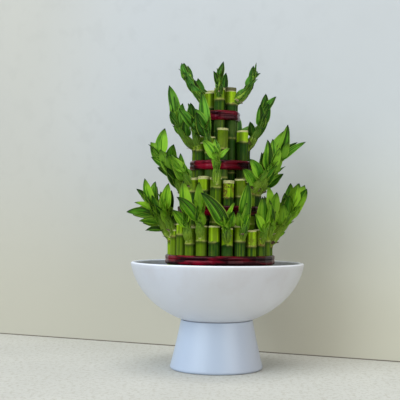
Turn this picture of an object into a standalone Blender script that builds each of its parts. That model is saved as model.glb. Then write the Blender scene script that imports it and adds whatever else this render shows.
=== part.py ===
"""Lucky bamboo: four tiers of cut canes with leafy shoots, tied with red bands, in a footed bowl.

Metres, +Z up. The origin is at the middle of the foot's base, on the surface that it stands on.
The front is -Y, and directions round the axis are degrees from the front towards +X.
"""

import math
import random
from dataclasses import dataclass, field

import bmesh
import bpy
from mathutils import Matrix, Vector
from mathutils.bvhtree import BVHTree

MM = 0.001
UP = Vector((0, 0, 1))
GAP = 0.3 * MM  # between two pieces that touch
TURNED_STEPS = 36

# Foot: a hollow cone whose top ring carries the bowl.
FOOT_BASE_R = 48.6 * MM
FOOT_TOP_R = 37.8 * MM
FOOT_TOP_Z = 50.8 * MM
FOOT_WALL = 5.0 * MM
FOOT_EDGE = 2.2 * MM  # rounding of its lower edge
FOOT_WAIST = 0.5 * MM  # its side is hollowed by this much

# Bowl: its outside is half an ellipse, cut off by the rim.
BOWL_HALF_WIDTH = 91.6 * MM
BOWL_HALF_DEPTH = 75.0 * MM
BOWL_CENTRE_Z = 120.0 * MM
BOWL_WALL = 4.2 * MM
RIM_Z = 111.0 * MM

# Pebbles: they fill the bowl round the plain hole that the canes stand in.
PEBBLE_TOP_Z = 104.0 * MM
PEBBLE_SIZE = 7.5 * MM
PEBBLE_RELIEF = 2.2 * MM
PEBBLE_CLEAR = 1.0 * MM  # to the bowl's wall
HOLE_R = 59.2 * MM
CANE_FOOT_Z = 72.0 * MM

# Canes and the red ties round them. They stand a little to the right of the bowl's middle.
BUNDLE_MIDDLE = Vector((2.5 * MM, 0, 0))
CANE_SIDES = 8
NODE_SWELL = 0.35 * MM
NODE_HALF = 2.2 * MM
CUT_DISH = 0.8 * MM
TWIN_OVERLAP = 0.9 * MM  # how far two canes that have grown together run into each other
TIE_HALF = 4.7 * MM
TIE_THICK = 1.9 * MM

# Shoots and leaves.
STEM_SIDES = 5
STEM_TIP_R = 2.1 * MM
BUD_DEPTH = 3.6 * MM  # a shoot starts this far inside its cane
BUD_RISE = 3.0 * MM  # and this far above the cane's node
LEAF_ROOT = 2.4 * MM  # how far a leaf starts inside its stem
LEAF_THICK = 1.15 * MM
LEAF_FOLD = math.radians(20)  # how far the two halves of a leaf fold up from its midrib
LONG_LEAF = 27 * MM
MIRRORED_SIZE = 0.9
SHORT_LEAF = 19  # millimetres: shorter ones are left out at the back
SHOOT_KEPT = (0.54, 0.62, 0.7, 0.8, 1.0)  # shares of a fused shoot's faces to try to keep
KEEP_CLEAR = 0.25 * MM  # added all round a leaf when it is tested against its neighbours
SEED = 7


@dataclass
class Tier:
    name: str
    places: int  # equal places round the ring
    empty: tuple  # places that hold no cane
    twins: tuple  # places whose cane has grown together with the next one
    turn: float  # direction of place 0
    ring: float  # radius of the ring through the canes' axes
    cane: float  # radius of a cane between its nodes
    top: float  # usual height of the cut tops
    tie: float  # height of the middle of the red tie


TIERS = (
    Tier("outer", 24, (), (9, 11, 13), 8, 49.4 * MM, 6.0 * MM, 149 * MM, 114.6 * MM),
    Tier("second", 18, (), (7, 9), 12, 36.9 * MM, 5.95 * MM, 196 * MM, 165 * MM),
    Tier("third", 12, (1,), (6,), 3, 24.6 * MM, 5.9 * MM, 242 * MM, 212 * MM),
    Tier("inner", 6, (), (), -10, 12.4 * MM, 5.8 * MM, 290 * MM, 264 * MM),
)

# The canes that face the front: how much higher they are cut than the rest of their tier, and
# how far the top node lies below the cut, in millimetres.
CUTS = {
    ("inner", 0): (2, 12),
    ("inner", 1): (3, 17),
    ("inner", 5): (-2, 16),
    ("third", 0): (7, 21),
    ("third", 2): (6, 12),
    ("third", 3): (-4, 10),
    ("third", 9): (-5, 9),
    ("third", 10): (-7, 8),
    ("third", 11): (-2, 16),
    ("second", 0): (-1, 17),
    ("second", 1): (1, 18),
    ("second", 2): (-2, 12),
    ("second", 3): (-3, 12),
    ("second", 13): (-4, 8),
    ("second", 14): (-3, 16),
    ("second", 15): (2, 14),
    ("second", 16): (3, 14),
    ("second", 17): (2, 10),
    ("outer", 0): (-2, 17),
    ("outer", 1): (1, 16),
    ("outer", 2): (-4, 16),
    ("outer", 3): (-3, 16),
    ("outer", 4): (4, 19),
    ("outer", 5): (-3, 18),
    ("outer", 18): (-9, 7),
    ("outer", 19): (-4, 7),
    ("outer", 20): (2, 11),
    ("outer", 21): (-1, 17),
    ("outer", 22): (0, 15),
    ("outer", 23): (0, 16),
}


@dataclass
class Growth:
    """A shoot, in degrees and millimetres.

    A leaf's row gives its place along the shoot, how far it leans to the right from upright and
    how far towards the viewer, its length and its width. The viewer stands at bearing view.
    """

    aim: float  # level direction in which the shoot leaves its cane
    start: float  # its slope there
    end: float  # its slope at its tip
    length: float
    leaves: tuple
    view: float = 0


# The shoots that face the front and the two sides. None: no shoot.
SHOOTS = {
    ("inner", 0): Growth(-8, 72, 88, 18, (
        (0.45, -19, 14, 19, 7), (0.6, 8, -4, 26, 8), (0.3, -6, -22, 16, 6),
        (0.5, 14, 24, 13, 6),
    )),
    ("inner", 1): Growth(86, 26, 75, 34, (
        (0.15, 44, 12, 15, 8), (0.4, 30, -14, 14, 7), (0.6, 18, 18, 16, 7),
        (0.8, 9, 0, 18, 7), (0.88, 46, -10, 12, 6),
    )),
    ("inner", 5): Growth(-86, 40, 62, 41, (
        (0.12, -40, 14, 24, 9), (0.3, -22, -14, 21, 8), (0.45, -32, 18, 20, 8),
        (0.6, -30, 10, 18, 8), (0.8, -20, 4, 20, 8), (0.95, -10, -14, 15, 7),
    )),
    ("third", 0): None,
    ("third", 2): None,
    ("third", 3): Growth(84, 50, 78, 42, (
        (0.25, -6, 18, 20, 8), (0.36, 26, -16, 16, 8), (0.5, 4, 12, 28, 12),
        (0.65, 20, 14, 25, 11), (0.75, 9, -16, 34, 9), (0.97, 31, 4, 22, 8),
        (1.0, 16, -12, 15, 9),
    )),
    ("third", 9): Growth(-88, 32, 86, 44, (
        (0.12, -49, 10, 13, 7), (0.25, -10, 20, 22, 9), (0.36, 8, -12, 22, 9),
        (0.45, -32, -18, 17, 8), (0.55, 2, 12, 29, 11), (0.66, -28, 14, 18, 9),
        (0.8, -12, 0, 38, 12), (0.9, -4, -18, 22, 10),
    )),
    ("third", 10): Growth(-52, 62, 82, 26, (
        (0.45, 6, 20, 26, 10), (0.7, -37, 6, 28, 10), (0.92, -8, 12, 23, 10),
    )),
    ("third", 11): Growth(-30, 66, 84, 22, (
        (0.4, -22, 26, 34, 11), (0.6, -7, 12, 46, 11), (0.8, -26, 18, 28, 10),
        (1.0, 6, 6, 22, 9),
    )),
    ("second", 0): None,
    ("second", 1): None,
    ("second", 2): Growth(66, 44, 54, 32, (
        (0.2, -32, 24, 25, 10), (0.45, -22, 18, 25, 12), (0.7, 6, 12, 36, 10),
        (0.85, 9, -8, 34, 10), (1.0, 24, 10, 22, 10),
    )),
    ("second", 3): Growth(84, 48, 68, 40, (
        (0.25, 42, 18, 19, 8), (0.4, 4, 20, 26, 10), (0.55, 10, -18, 26, 11),
        (0.75, 20, 6, 48, 14), (0.85, 50, -6, 41, 7), (0.95, 30, 14, 24, 11),
    )),
    ("second", 13): Growth(-88, 50, 58, 40, (
        (0.3, -60, 8, 20, 8), (0.45, -62, -14, 19, 8), (0.55, 4, 14, 30, 12),
        (0.64, -54, 12, 23, 10), (0.78, -15, -20, 33, 11), (0.87, -42, 10, 22, 10),
        (0.92, -1, 6, 34, 13), (1.0, -34, -8, 21, 10),
    )),
    ("second", 14): Growth(-74, 52, 62, 26, (
        (0.3, -34, 20, 28, 11), (0.6, -38, 6, 28, 10), (0.75, -20, 24, 30, 11),
        (0.95, -28, 8, 30, 11),
    )),
    ("second", 15): Growth(-60, 52, 66, 20, (
        (0.3, -36, 22, 32, 12), (0.6, -27, 12, 25, 10), (0.8, -46, 20, 28, 11),
        (0.95, -38, 30, 26, 10),
    )),
    ("second", 16): None,
    ("second", 17): Growth(6, 74, 88, 25, (
        (0.5, 18, 22, 13, 7), (0.72, -5, 20, 16, 8), (0.88, -30, 14, 27, 12),
        (0.97, 42, 8, 18, 5), (1.0, 6, -10, 18, 7),
    )),
    ("outer", 0): Growth(-4, 70, 84, 16, (
        (0.6, -31, 16, 49, 14), (0.8, 16, 26, 22, 10),
    )),
    ("outer", 1): Growth(40, 62, 80, 15, (
        (0.55, -14, 26, 22, 10), (0.8, 3, 14, 46, 12),
    )),
    ("outer", 2): None,
    ("outer", 3): Growth(48, 66, 80, 16, (
        (0.5, -22, 24, 26, 10), (0.7, -2, 14, 37, 12), (1.0, 14, 6, 26, 10),
    )),
    ("outer", 4): Growth(74, 62, 82, 18, (
        (0.5, -2, 20, 33, 8), (0.8, -5, 4, 41, 10), (0.9, 8, 16, 34, 11),
    )),
    ("outer", 5): Growth(86, 48, 60, 45, (
        (0.2, 58, 6, 12, 6), (0.38, 7, 18, 30, 11), (0.45, 14, -18, 30, 11),
        (0.58, 8, 10, 31, 12), (0.7, 34, -14, 26, 11), (0.78, 11, 14, 37, 11),
        (0.88, 23, -2, 33, 13), (1.0, 30, 12, 25, 10),
    )),
    ("outer", 18): Growth(-88, 54, 66, 36, (
        (0.3, -88, 8, 20, 7), (0.5, -80, -12, 24, 8), (0.62, -18, 18, 28, 11),
        (0.75, -82, 4, 32, 10), (0.84, -20, 4, 38, 11), (0.9, -66, 10, 23, 7),
        (0.96, -42, -6, 29, 10), (1.0, -1, -14, 29, 10),
    )),
    ("outer", 19): Growth(-66, 58, 74, 22, (
        (0.45, -30, 22, 20, 8), (0.8, -14, 12, 28, 10), (0.95, 2, 8, 33, 11),
    )),
    ("outer", 20): None,
    ("outer", 21): Growth(-34, 68, 84, 22, (
        (0.5, -34, 10, 26, 10), (0.7, 6, 20, 22, 9), (0.95, -4, 8, 40, 12),
    )),
    ("outer", 22): Growth(-20, 70, 86, 20, (
        (0.45, 10, 28, 20, 8), (0.6, -36, 22, 39, 12), (0.85, -3, 12, 40, 10),
    )),
    ("outer", 23): None,
}

# How a leaf that would cross a neighbour is bent clear, the least change first:
# degrees to the right, degrees towards the viewer, and a share of its length.
LEAF_TRIES = (
    (0, 0, 1.0), (0, 8, 1.0), (0, -8, 1.0), (6, 0, 1.0), (-6, 0, 1.0), (0, 16, 1.0),
    (0, -16, 0.95), (12, 6, 0.95), (-12, 6, 0.95), (0, 26, 0.9), (0, -26, 0.9),
    (16, -10, 0.85), (-16, -10, 0.85), (22, 22, 0.8), (-22, 22, 0.8), (0, 0, 0.7),
    (30, 10, 0.7), (-30, 10, 0.7), (0, 36, 0.7), (0, 12, 0.55),
)
STEM_TRIES = (0, 6, -6, 12, -12, 20, -20, 30, -30)


def bearing(degrees):
    """The level direction that many degrees from the front towards +X."""
    turn = math.radians(degrees)
    return Vector((math.sin(turn), -math.cos(turn), 0))


@dataclass
class Arc:
    """A flat curve of even bend, from start, turning from the direction along towards across."""

    start: Vector
    along: Vector
    across: Vector
    first: float
    last: float
    length: float

    def slope(self, t):
        return self.first + (self.last - self.first) * t

    def point(self, t):
        bend = self.last - self.first
        if abs(bend) < 1e-4:
            return self.start + self.heading(0) * self.length * t
        reach = (math.sin(self.slope(t)) - math.sin(self.first)) / bend
        rise = (math.cos(self.first) - math.cos(self.slope(t))) / bend
        return self.start + (self.along * reach + self.across * rise) * self.length

    def heading(self, t):
        return self.along * math.cos(self.slope(t)) + self.across * math.sin(self.slope(t))

    def facing(self, t):
        """Square to the curve, in its plane, on the side of along."""
        return self.along * math.sin(self.slope(t)) - self.across * math.cos(self.slope(t))


@dataclass
class Leaf:
    midrib: Arc
    half_width: float
    roll: float  # turns the upper face about the midrib
    twist: float  # how much more it is turned at its tip

    def frame(self, t):
        """Point on the midrib, the direction the upper face looks, and the direction across."""
        facing = self.midrib.facing(t)
        across = self.midrib.heading(t).cross(facing)
        turn = self.roll + self.twist * t
        return (
            self.midrib.point(t),
            facing * math.cos(turn) + across * math.sin(turn),
            across * math.cos(turn) - facing * math.sin(turn),
        )

    def half(self, t):
        """Half the width at t: widest before the middle, drawn out to a point."""
        widest = 0.42
        if not 0 < t < 1:
            return 0
        return self.half_width * (t / widest) ** 0.58 * ((1 - t) / (1 - widest)) ** 0.76


@dataclass
class Shoot:
    stem: Arc
    base_r: float
    leaves: list = field(default_factory=list)

    def radius(self, t):
        return self.base_r + (STEM_TIP_R - self.base_r) * t**0.8


@dataclass
class Cane:
    tier: Tier
    place: int
    direction: float
    radius: float
    top: float
    node: float
    shoot: Shoot = None

    @property
    def centre(self):
        return BUNDLE_MIDDLE + bearing(self.direction) * self.tier.ring


def tube_faces(rows, sides, closed):
    """Faces of a skin over rows of sides points each, with its two ends filled or joined."""
    faces = []
    for i in range(rows if closed else rows - 1):
        a, b = i * sides, (i + 1) % rows * sides
        for k in range(sides):
            n = (k + 1) % sides
            faces.append((a + k, a + n, b + n, b + k))
    if not closed:
        last = (rows - 1) * sides
        faces.append(tuple(reversed(range(sides))))
        faces.append(tuple(range(last, last + sides)))
    return faces


def stem_mesh(shoot, stations=(0, 0.5, 1), sides=STEM_SIDES, grow=0.0):
    points = []
    level = shoot.stem.along.cross(shoot.stem.across)
    for t in stations:
        centre, facing = shoot.stem.point(t), shoot.stem.facing(t)
        for k in range(sides):
            turn = math.tau * k / sides
            out = facing * math.cos(turn) + level * math.sin(turn)
            points.append(centre + out * (shoot.radius(t) + grow))
    return points, tube_faces(len(stations), sides, False)


def leaf_mesh(leaf, grow=0.0):
    """A keeled blade: three points at each station, and one at the root and at the tip."""
    long = leaf.midrib.length > LONG_LEAF
    points = [leaf.midrib.point(0)]
    for t in (0.22, 0.48, 0.78) if long else (0.3, 0.68):
        middle, facing, across = leaf.frame(t)
        half = leaf.half(t) + grow
        lift = facing * math.sin(LEAF_FOLD) * half * (1 - 0.45 * t)
        points += [
            middle + across * half + lift,
            middle - facing * (LEAF_THICK * (1 - 0.35 * t) + grow),
            middle - across * half + lift,
        ]
    points.append(leaf.midrib.point(1) + leaf.midrib.heading(1) * grow)
    tip = len(points) - 1
    faces = []
    for k in range(3):
        n = (k + 1) % 3
        faces.append((0, 1 + n, 1 + k))
        for i in range(1, tip - 3, 3):
            faces.append((i + k, i + n, i + n + 3, i + k + 3))
        faces.append((tip - 3 + k, tip - 3 + n, tip))
    return points, faces


def cane_tube(cane, grow):
    """A plain stand-in for a cane, for the clearance test."""
    points = []
    for z in (CANE_FOOT_Z, cane.top + grow):
        for k in range(CANE_SIDES):
            turn = math.tau * (k + 0.5) / CANE_SIDES
            out = Vector((math.cos(turn), math.sin(turn), 0)) * (cane.radius + NODE_SWELL + grow)
            points.append(cane.centre + out + UP * z)
    return points, tube_faces(2, CANE_SIDES, False)


class Room:
    """What has grown so far, to keep each new piece clear of it."""

    def __init__(self):
        self.taken = []

    @staticmethod
    def box(points):
        low = [min(p[i] for p in points) for i in range(3)]
        high = [max(p[i] for p in points) for i in range(3)]
        return low, high

    def add(self, skin):
        self.taken.append((*self.box(skin[0]), BVHTree.FromPolygons(*skin)))
        return len(self.taken) - 1

    def free(self, skin, skip):
        low, high = self.box(skin[0])
        tree = None
        for number, (other_low, other_high, other) in enumerate(self.taken):
            if number in skip:
                continue
            if any(low[i] > other_high[i] or high[i] < other_low[i] for i in range(3)):
                continue
            tree = tree or BVHTree.FromPolygons(*skin)
            if tree.overlap(other):
                return False
        return True


def place_canes(rng):
    canes = {}
    for tier in TIERS:
        step = 360 / tier.places
        for place in range(tier.places):
            cut_jitter, drop_jitter = rng.uniform(-3, 3), rng.uniform(11, 17)
            slim = rng.uniform(0, 0.35) * MM
            if place in tier.empty:
                continue
            higher, drop = CUTS.get((tier.name, place), (cut_jitter, drop_jitter))
            top = tier.top + higher * MM
            direction = tier.turn + step * place
            twin = place in tier.twins or place - 1 in tier.twins
            if twin:
                slim = 0.1 * MM
                apart = 2 * (tier.cane - slim) - TWIN_OVERLAP
                close = step / 2 - math.degrees(math.asin(apart / 2 / tier.ring))
                direction += close if place in tier.twins else -close
            canes[tier.name, place] = Cane(
                tier=tier,
                place=place,
                direction=direction,
                radius=tier.cane - slim,
                top=top,
                node=max(top - drop * MM, tier.tie + TIE_HALF + NODE_HALF + GAP),
            )
    return canes


def mirrored(growth):
    """The same shoot on the far side of the plant, a little smaller."""
    rows = tuple(
        (t, -lean, forward, length * MIRRORED_SIZE, width)
        for t, lean, forward, length, width in growth.leaves
        if length > SHORT_LEAF
    )
    return Growth(
        180 - growth.aim, growth.start, growth.end, growth.length * MIRRORED_SIZE, rows, 180
    )


def grown_by_rule(cane, rng):
    """A shoot as someone who looks at this side of the plant would see it."""
    aim = cane.direction + rng.uniform(-12, 12)
    start = rng.uniform(36, 50)
    end = start + rng.uniform(14, 22)
    rows = []
    side = rng.choice((-1, 1))
    for t in (0.35, 0.7, 1.0):
        side = -side
        lean = side * rng.uniform(26, 50) * (1.15 - 0.9 * t)
        forward = 90 - (start + (end - start) * t) + rng.uniform(-10, 10)
        long = rng.uniform(24, 32)
        rows.append((t, lean, forward, long, long * rng.uniform(0.28, 0.36)))
    return Growth(aim, start, end, rng.uniform(18, 26), tuple(rows), cane.direction)


def growth_of(cane, rng):
    by_rule = grown_by_rule(cane, rng)
    key = cane.tier.name, cane.place
    if key in SHOOTS:
        return SHOOTS[key]
    places, turn = cane.tier.places, cane.tier.turn
    opposite = round((180 - 2 * turn) * places / 360) - cane.place
    return mirrored(SHOOTS[cane.tier.name, opposite % places]) if SHOOTS.get(
        (cane.tier.name, opposite % places)
    ) else by_rule


def stem_of(cane, growth, turn):
    aim = bearing(growth.aim + turn)
    start = cane.centre + aim * (cane.radius - BUD_DEPTH) + UP * (cane.node + BUD_RISE)
    slopes = math.radians(growth.start), math.radians(growth.end)
    base_r = min(3.9, 2.9 + growth.length * 0.03) * MM
    return Shoot(Arc(start, aim, UP, *slopes, growth.length * MM), base_r)


def leaf_of(shoot, growth, row, jitter, change):
    t, lean, forward, length, width = row
    lean = math.radians(lean + jitter[0] + change[0])
    forward = math.radians(forward + jitter[1] + change[1])
    view, right = bearing(growth.view), bearing(growth.view + 90)
    chord = right * math.sin(lean) + UP * math.cos(lean)
    chord = chord * math.cos(forward) + view * math.sin(forward)
    heading = shoot.stem.heading(t)
    apart = heading.angle(chord)
    aside = chord - heading * chord.dot(heading)
    aside = aside.normalized() if apart > 0.02 else right
    bend = min(0.45 * apart, math.radians(15))
    midrib = Arc(
        shoot.stem.point(t) - heading * LEAF_ROOT, heading, aside,
        apart - bend, apart + bend, length * MM * change[2] + LEAF_ROOT,
    )
    facing = midrib.facing(0.5)
    across = midrib.heading(0.5).cross(facing)
    look = view - aside * 0.5 + UP * 0.15
    roll = math.atan2(look.dot(across), look.dot(facing)) + math.radians(jitter[2])
    return Leaf(midrib, width * MM / 2, roll, math.radians(jitter[3]))


def grow(canes, rng):
    """Adds the shoots and their leaves, each bent clear of what has grown before it."""
    room = Room()
    own = {key: {room.add(cane_tube(cane, KEEP_CLEAR))} for key, cane in canes.items()}
    growths = {key: growth_of(cane, rng) for key, cane in canes.items()}
    order = [key for key in canes if key in SHOOTS] + [key for key in canes if key not in SHOOTS]
    order = [key for key in order if growths[key]]
    for key in order:
        for turn in STEM_TRIES:
            shoot = stem_of(canes[key], growths[key], turn)
            skin = stem_mesh(shoot, grow=KEEP_CLEAR)
            if room.free(skin, own[key]):
                canes[key].shoot = shoot
                own[key].add(room.add(skin))
                break
    for key in order:
        shoot, growth = canes[key].shoot, growths[key]
        for row in reversed(growth.leaves):
            jitter = (rng.uniform(-2, 2), rng.uniform(-3, 3), rng.uniform(-22, 22), rng.uniform(-20, 20))
            for change in LEAF_TRIES if shoot else ():
                leaf = leaf_of(shoot, growth, row, jitter, change)
                skin = leaf_mesh(leaf, KEEP_CLEAR)
                if room.free(skin, own[key]):
                    shoot.leaves.append(leaf)
                    own[key].add(room.add(skin))
                    break


def plan():
    rng = random.Random(SEED)
    canes = place_canes(rng)
    grow(canes, rng)
    return canes


def material(name, colour, roughness):
    made = bpy.data.materials.new(name)
    made.use_nodes = True
    shader = made.node_tree.nodes["Principled BSDF"]
    shader.inputs["Base Color"].default_value = (*colour, 1)
    shader.inputs["Roughness"].default_value = roughness
    made.diffuse_color = (*colour, 1)
    return made


def outward(mesh):
    """Splits a mesh into triangles that all face outwards, which a Boolean joins cleanly."""
    bm = bmesh.new()
    bm.from_mesh(mesh)
    bmesh.ops.triangulate(bm, faces=bm.faces)
    bmesh.ops.recalc_face_normals(bm, faces=bm.faces)
    bm.to_mesh(mesh)
    bm.free()


def object_of(name, points, faces, finish, sharp, group=None):
    mesh = bpy.data.meshes.new(name)
    mesh.from_pydata([tuple(p) for p in points], [], faces)
    outward(mesh)
    mesh.materials.append(finish)
    mesh.shade_smooth()
    mesh.set_sharp_from_angle(angle=math.radians(sharp))
    made = bpy.data.objects.new(name, mesh)
    (group or bpy.context.scene.collection).objects.link(made)
    return made


def turned(name, profile, finish, steps=TURNED_STEPS, sharp=35, start=0.0, group=None):
    """A solid turned about Z from an outline of (radius, height) points.

    The outline is closed, or it begins and ends on the axis.
    """
    bm = bmesh.new()
    turn = math.radians(start)
    verts = [bm.verts.new((r * math.cos(turn), r * math.sin(turn), z)) for r, z in profile]
    edges = [bm.edges.new(pair) for pair in zip(verts, verts[1:])]
    if profile[0][0] > 0:
        edges.append(bm.edges.new((verts[-1], verts[0])))
    bmesh.ops.spin(
        bm, geom=verts + edges, cent=(0, 0, 0), axis=(0, 0, 1), angle=math.tau, steps=steps,
        use_duplicate=False,
    )
    bmesh.ops.remove_doubles(bm, verts=bm.verts, dist=1e-5)
    bmesh.ops.recalc_face_normals(bm, faces=bm.faces)
    mesh = bpy.data.meshes.new(name)
    bm.to_mesh(mesh)
    bm.free()
    mesh.materials.append(finish)
    mesh.shade_smooth()
    mesh.set_sharp_from_angle(angle=math.radians(sharp))
    made = bpy.data.objects.new(name, mesh)
    (group or bpy.context.scene.collection).objects.link(made)
    return made


def corner(centre, radius, first, last, steps):
    """Points of a rounded corner, as (radius, height), from one angle to another in degrees."""
    points = []
    for i in range(steps + 1):
        turn = math.radians(first + (last - first) * i / steps)
        points.append((centre[0] + radius * math.cos(turn), centre[1] + radius * math.sin(turn)))
    return points


def bowl_side(inset, low, high, steps):
    """Points up the bowl's ellipse, moved in by inset, between two heights."""
    half_width, half_depth = BOWL_HALF_WIDTH - inset, BOWL_HALF_DEPTH - inset
    first = math.asin((BOWL_CENTRE_Z - low) / half_depth)
    last = math.asin((BOWL_CENTRE_Z - high) / half_depth)
    points = []
    for i in range(steps + 1):
        turn = first + (last - first) * i / steps
        points.append((half_width * math.cos(turn), BOWL_CENTRE_Z - half_depth * math.sin(turn)))
    return points


def make_foot(finish):
    """Its top edge stands a little proud of the bowl that sits in it."""
    seat = bowl_side(-GAP, FOOT_TOP_Z - 2.4 * MM, FOOT_TOP_Z, 1)
    lean = math.degrees(math.atan2(FOOT_BASE_R - FOOT_TOP_R, FOOT_TOP_Z))
    inner_base = FOOT_BASE_R - FOOT_WALL
    middle = ((FOOT_BASE_R + FOOT_TOP_R) / 2 - FOOT_WAIST, FOOT_TOP_Z / 2)
    outline = [(inner_base + 1 * MM, 0)]
    outline += corner((FOOT_BASE_R - FOOT_EDGE, FOOT_EDGE), FOOT_EDGE, -90, lean, 3)
    outline += [middle, (FOOT_TOP_R, FOOT_TOP_Z - 0.8 * MM), (FOOT_TOP_R - 0.6 * MM, FOOT_TOP_Z)]
    outline += [seat[1], seat[0], (seat[0][0] - 1 * MM, seat[0][1] - 1.5 * MM)]
    outline += [(inner_base, 1 * MM)]
    turned("pot_foot", outline, finish)


def make_bowl(finish):
    bottom = BOWL_CENTRE_Z - BOWL_HALF_DEPTH
    outside = bowl_side(0, bottom, RIM_Z - 1.5 * MM, 7)
    inside = bowl_side(BOWL_WALL, bottom + BOWL_WALL, RIM_Z - 1.5 * MM, 5)
    lip = (outside[-1][0] + inside[-1][0]) / 2
    half_lip = (outside[-1][0] - inside[-1][0]) / 2
    rim = corner((lip, RIM_Z - half_lip), half_lip, 0, 180, 4)[1:-1]
    outline = [(0, bottom), *outside[1:], *rim, *reversed(inside[1:]), (0, inside[0][1])]
    turned("pot_bowl", outline, finish, sharp=60)


def pebble_height(x, y):
    """Relief of the pebbles' top: rounded bumps in an uneven grid."""
    bend = 0.35 * math.sin(260 * x + 1.0) + 0.35 * math.sin(230 * y)
    u, v = math.pi * x / PEBBLE_SIZE + bend, math.pi * y / PEBBLE_SIZE - bend
    return PEBBLE_RELIEF * math.sqrt(abs(math.sin(u) * math.sin(v)))


def make_pebbles(finish):
    wall = BOWL_WALL + PEBBLE_CLEAR
    floor = CANE_FOOT_Z - GAP
    side = bowl_side(wall, BOWL_CENTRE_Z - BOWL_HALF_DEPTH + wall, PEBBLE_TOP_Z, 5)
    rings = 4
    edge = side[-1][0]
    tops = [(edge + (HOLE_R - edge) * i / rings, PEBBLE_TOP_Z) for i in range(1, rings + 1)]
    outline = [(0, side[0][1]), *side[1:], *tops, (HOLE_R, floor), (0, floor)]
    pebbles = turned("pebbles", outline, finish)
    for vertex in pebbles.data.vertices:
        reach = math.hypot(vertex.co.x, vertex.co.y)
        if vertex.co.z > PEBBLE_TOP_Z - 0.1 * MM and HOLE_R + 2 * MM < reach < edge - 2 * MM:
            vertex.co.z += pebble_height(vertex.co.x, vertex.co.y)


def tie_path(canes, gap, steps):
    """A line pulled tight round the canes: an arc on each, and straight from one to the next."""
    ordered = sorted(canes, key=lambda cane: cane.direction)
    reach = gap + max(cane.radius for cane in canes)
    squares = []
    for cane, following in zip(ordered, ordered[1:] + ordered[:1]):
        along = following.centre - cane.centre
        squares.append(math.atan2(-along.x, along.y))
    path = []
    for number, cane in enumerate(ordered):
        first, last = squares[number - 1], squares[number]
        bend = (last - first) % math.tau / (steps - 1)
        for i in range(steps):
            turn = first + bend * i
            out = Vector((math.cos(turn), math.sin(turn), 0)) / math.cos(bend / 2)
            path.append((cane.centre + out * reach, out))
    return path


def make_tie(tier, canes, finish):
    """Two turns of a smooth red band, one above the other, as one ring."""
    around = [cane for cane in canes.values() if cane.tier is tier]
    half, ridge = TIE_HALF, TIE_THICK
    section = (
        (0, -half), (ridge, -half * 0.72), (ridge, -half * 0.3), (ridge * 0.4, 0),
        (ridge, half * 0.3), (ridge, half * 0.72), (0, half),
    )
    points = []
    for place, out in tie_path(around, GAP, 2 if len(around) > 8 else 3):
        points += [place + out * depth + UP * (tier.tie + rise) for depth, rise in section]
    faces = tube_faces(len(points) // len(section), len(section), True)
    object_of(f"tie_{tier.name}", points, faces, finish, sharp=60)


def cane_outline(cane):
    return [
        (0, CANE_FOOT_Z),
        (cane.radius, CANE_FOOT_Z),
        (cane.radius, cane.node - NODE_HALF),
        (cane.radius + NODE_SWELL, cane.node),
        (cane.radius, cane.top),
        (0, cane.top - CUT_DISH),
    ]


def applied(made):
    """Replaces an object's mesh by what its modifiers make of it."""
    bpy.context.view_layer.update()
    graph = bpy.context.evaluated_depsgraph_get()
    mesh = bpy.data.meshes.new_from_object(made.evaluated_get(graph))
    made.modifiers.clear()
    made.data = mesh
    mesh.shade_smooth()
    mesh.set_sharp_from_angle(angle=math.radians(40))


def new_group(name):
    group = bpy.data.collections.new(name)
    bpy.context.scene.collection.children.link(group)
    return group


def fuse(made, group):
    """Joins every object of a collection to one object, and removes them."""
    if group.objects:
        join = made.modifiers.new("join", "BOOLEAN")
        join.operation = "UNION"
        join.operand_type = "COLLECTION"
        join.collection = group
        join.solver = "EXACT"
        applied(made)
    for piece in list(group.objects):
        bpy.data.objects.remove(piece)
    bpy.data.collections.remove(group)


def crosses_itself(mesh):
    corners = [tuple(face.vertices) for face in mesh.polygons]
    tree = BVHTree.FromPolygons([vertex.co for vertex in mesh.vertices], corners)
    return any(not set(corners[a]) & set(corners[b]) for a, b in tree.overlap(tree))


def make_shoot(shoot, finish, group):
    """A stem with its leaves, thinned out where the cuts between them left slivers."""
    stem = object_of("stem", *stem_mesh(shoot), finish, 40, group)
    leaves = new_group("leaves")
    for leaf in shoot.leaves:
        object_of("leaf", *leaf_mesh(leaf), finish, 40, leaves)
    fuse(stem, leaves)
    full = stem.data
    for kept in SHOOT_KEPT:
        stem.data = full
        thin = stem.modifiers.new("thin", "DECIMATE")
        thin.ratio = kept
        thin.use_collapse_triangulate = True
        applied(stem)
        if not crosses_itself(stem.data):
            break


def make_canes(name, canes, finish):
    """One cane or two that have grown together, with every shoot and leaf, as one solid."""
    growth = new_group(f"growth_{name}")
    trunk = None
    for cane in canes:
        stalk = turned(
            name, cane_outline(cane), finish, steps=CANE_SIDES, start=22.5,
            group=growth if trunk else None,
        )
        stalk.data.transform(Matrix.Translation(cane.centre))
        outward(stalk.data)
        trunk = trunk or stalk
        if cane.shoot:
            make_shoot(cane.shoot, finish, growth)
    fuse(trunk, growth)


def main():
    for old in list(bpy.data.objects):
        bpy.data.objects.remove(old)
    white = material("matt white glaze", (0.80, 0.82, 0.84), 0.45)
    dark = material("dark pebbles", (0.06, 0.065, 0.06), 0.6)
    red = material("red band", (0.34, 0.012, 0.03), 0.22)
    green = material("cane and leaf green", (0.16, 0.32, 0.03), 0.42)
    canes = plan()
    make_foot(white)
    make_bowl(white)
    make_pebbles(dark)
    for tier in TIERS:
        make_tie(tier, canes, red)
        for place in range(tier.places):
            if place in tier.empty or place - 1 in tier.twins:
                continue
            if place in tier.twins:
                name = f"canes_{tier.name}_{place + 1:02d}_{place + 2:02d}"
                make_canes(name, [canes[tier.name, place], canes[tier.name, place + 1]], green)
            else:
                name = f"cane_{tier.name}_{place + 1:02d}"
                make_canes(name, [canes[tier.name, place]], green)


main()
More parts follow.
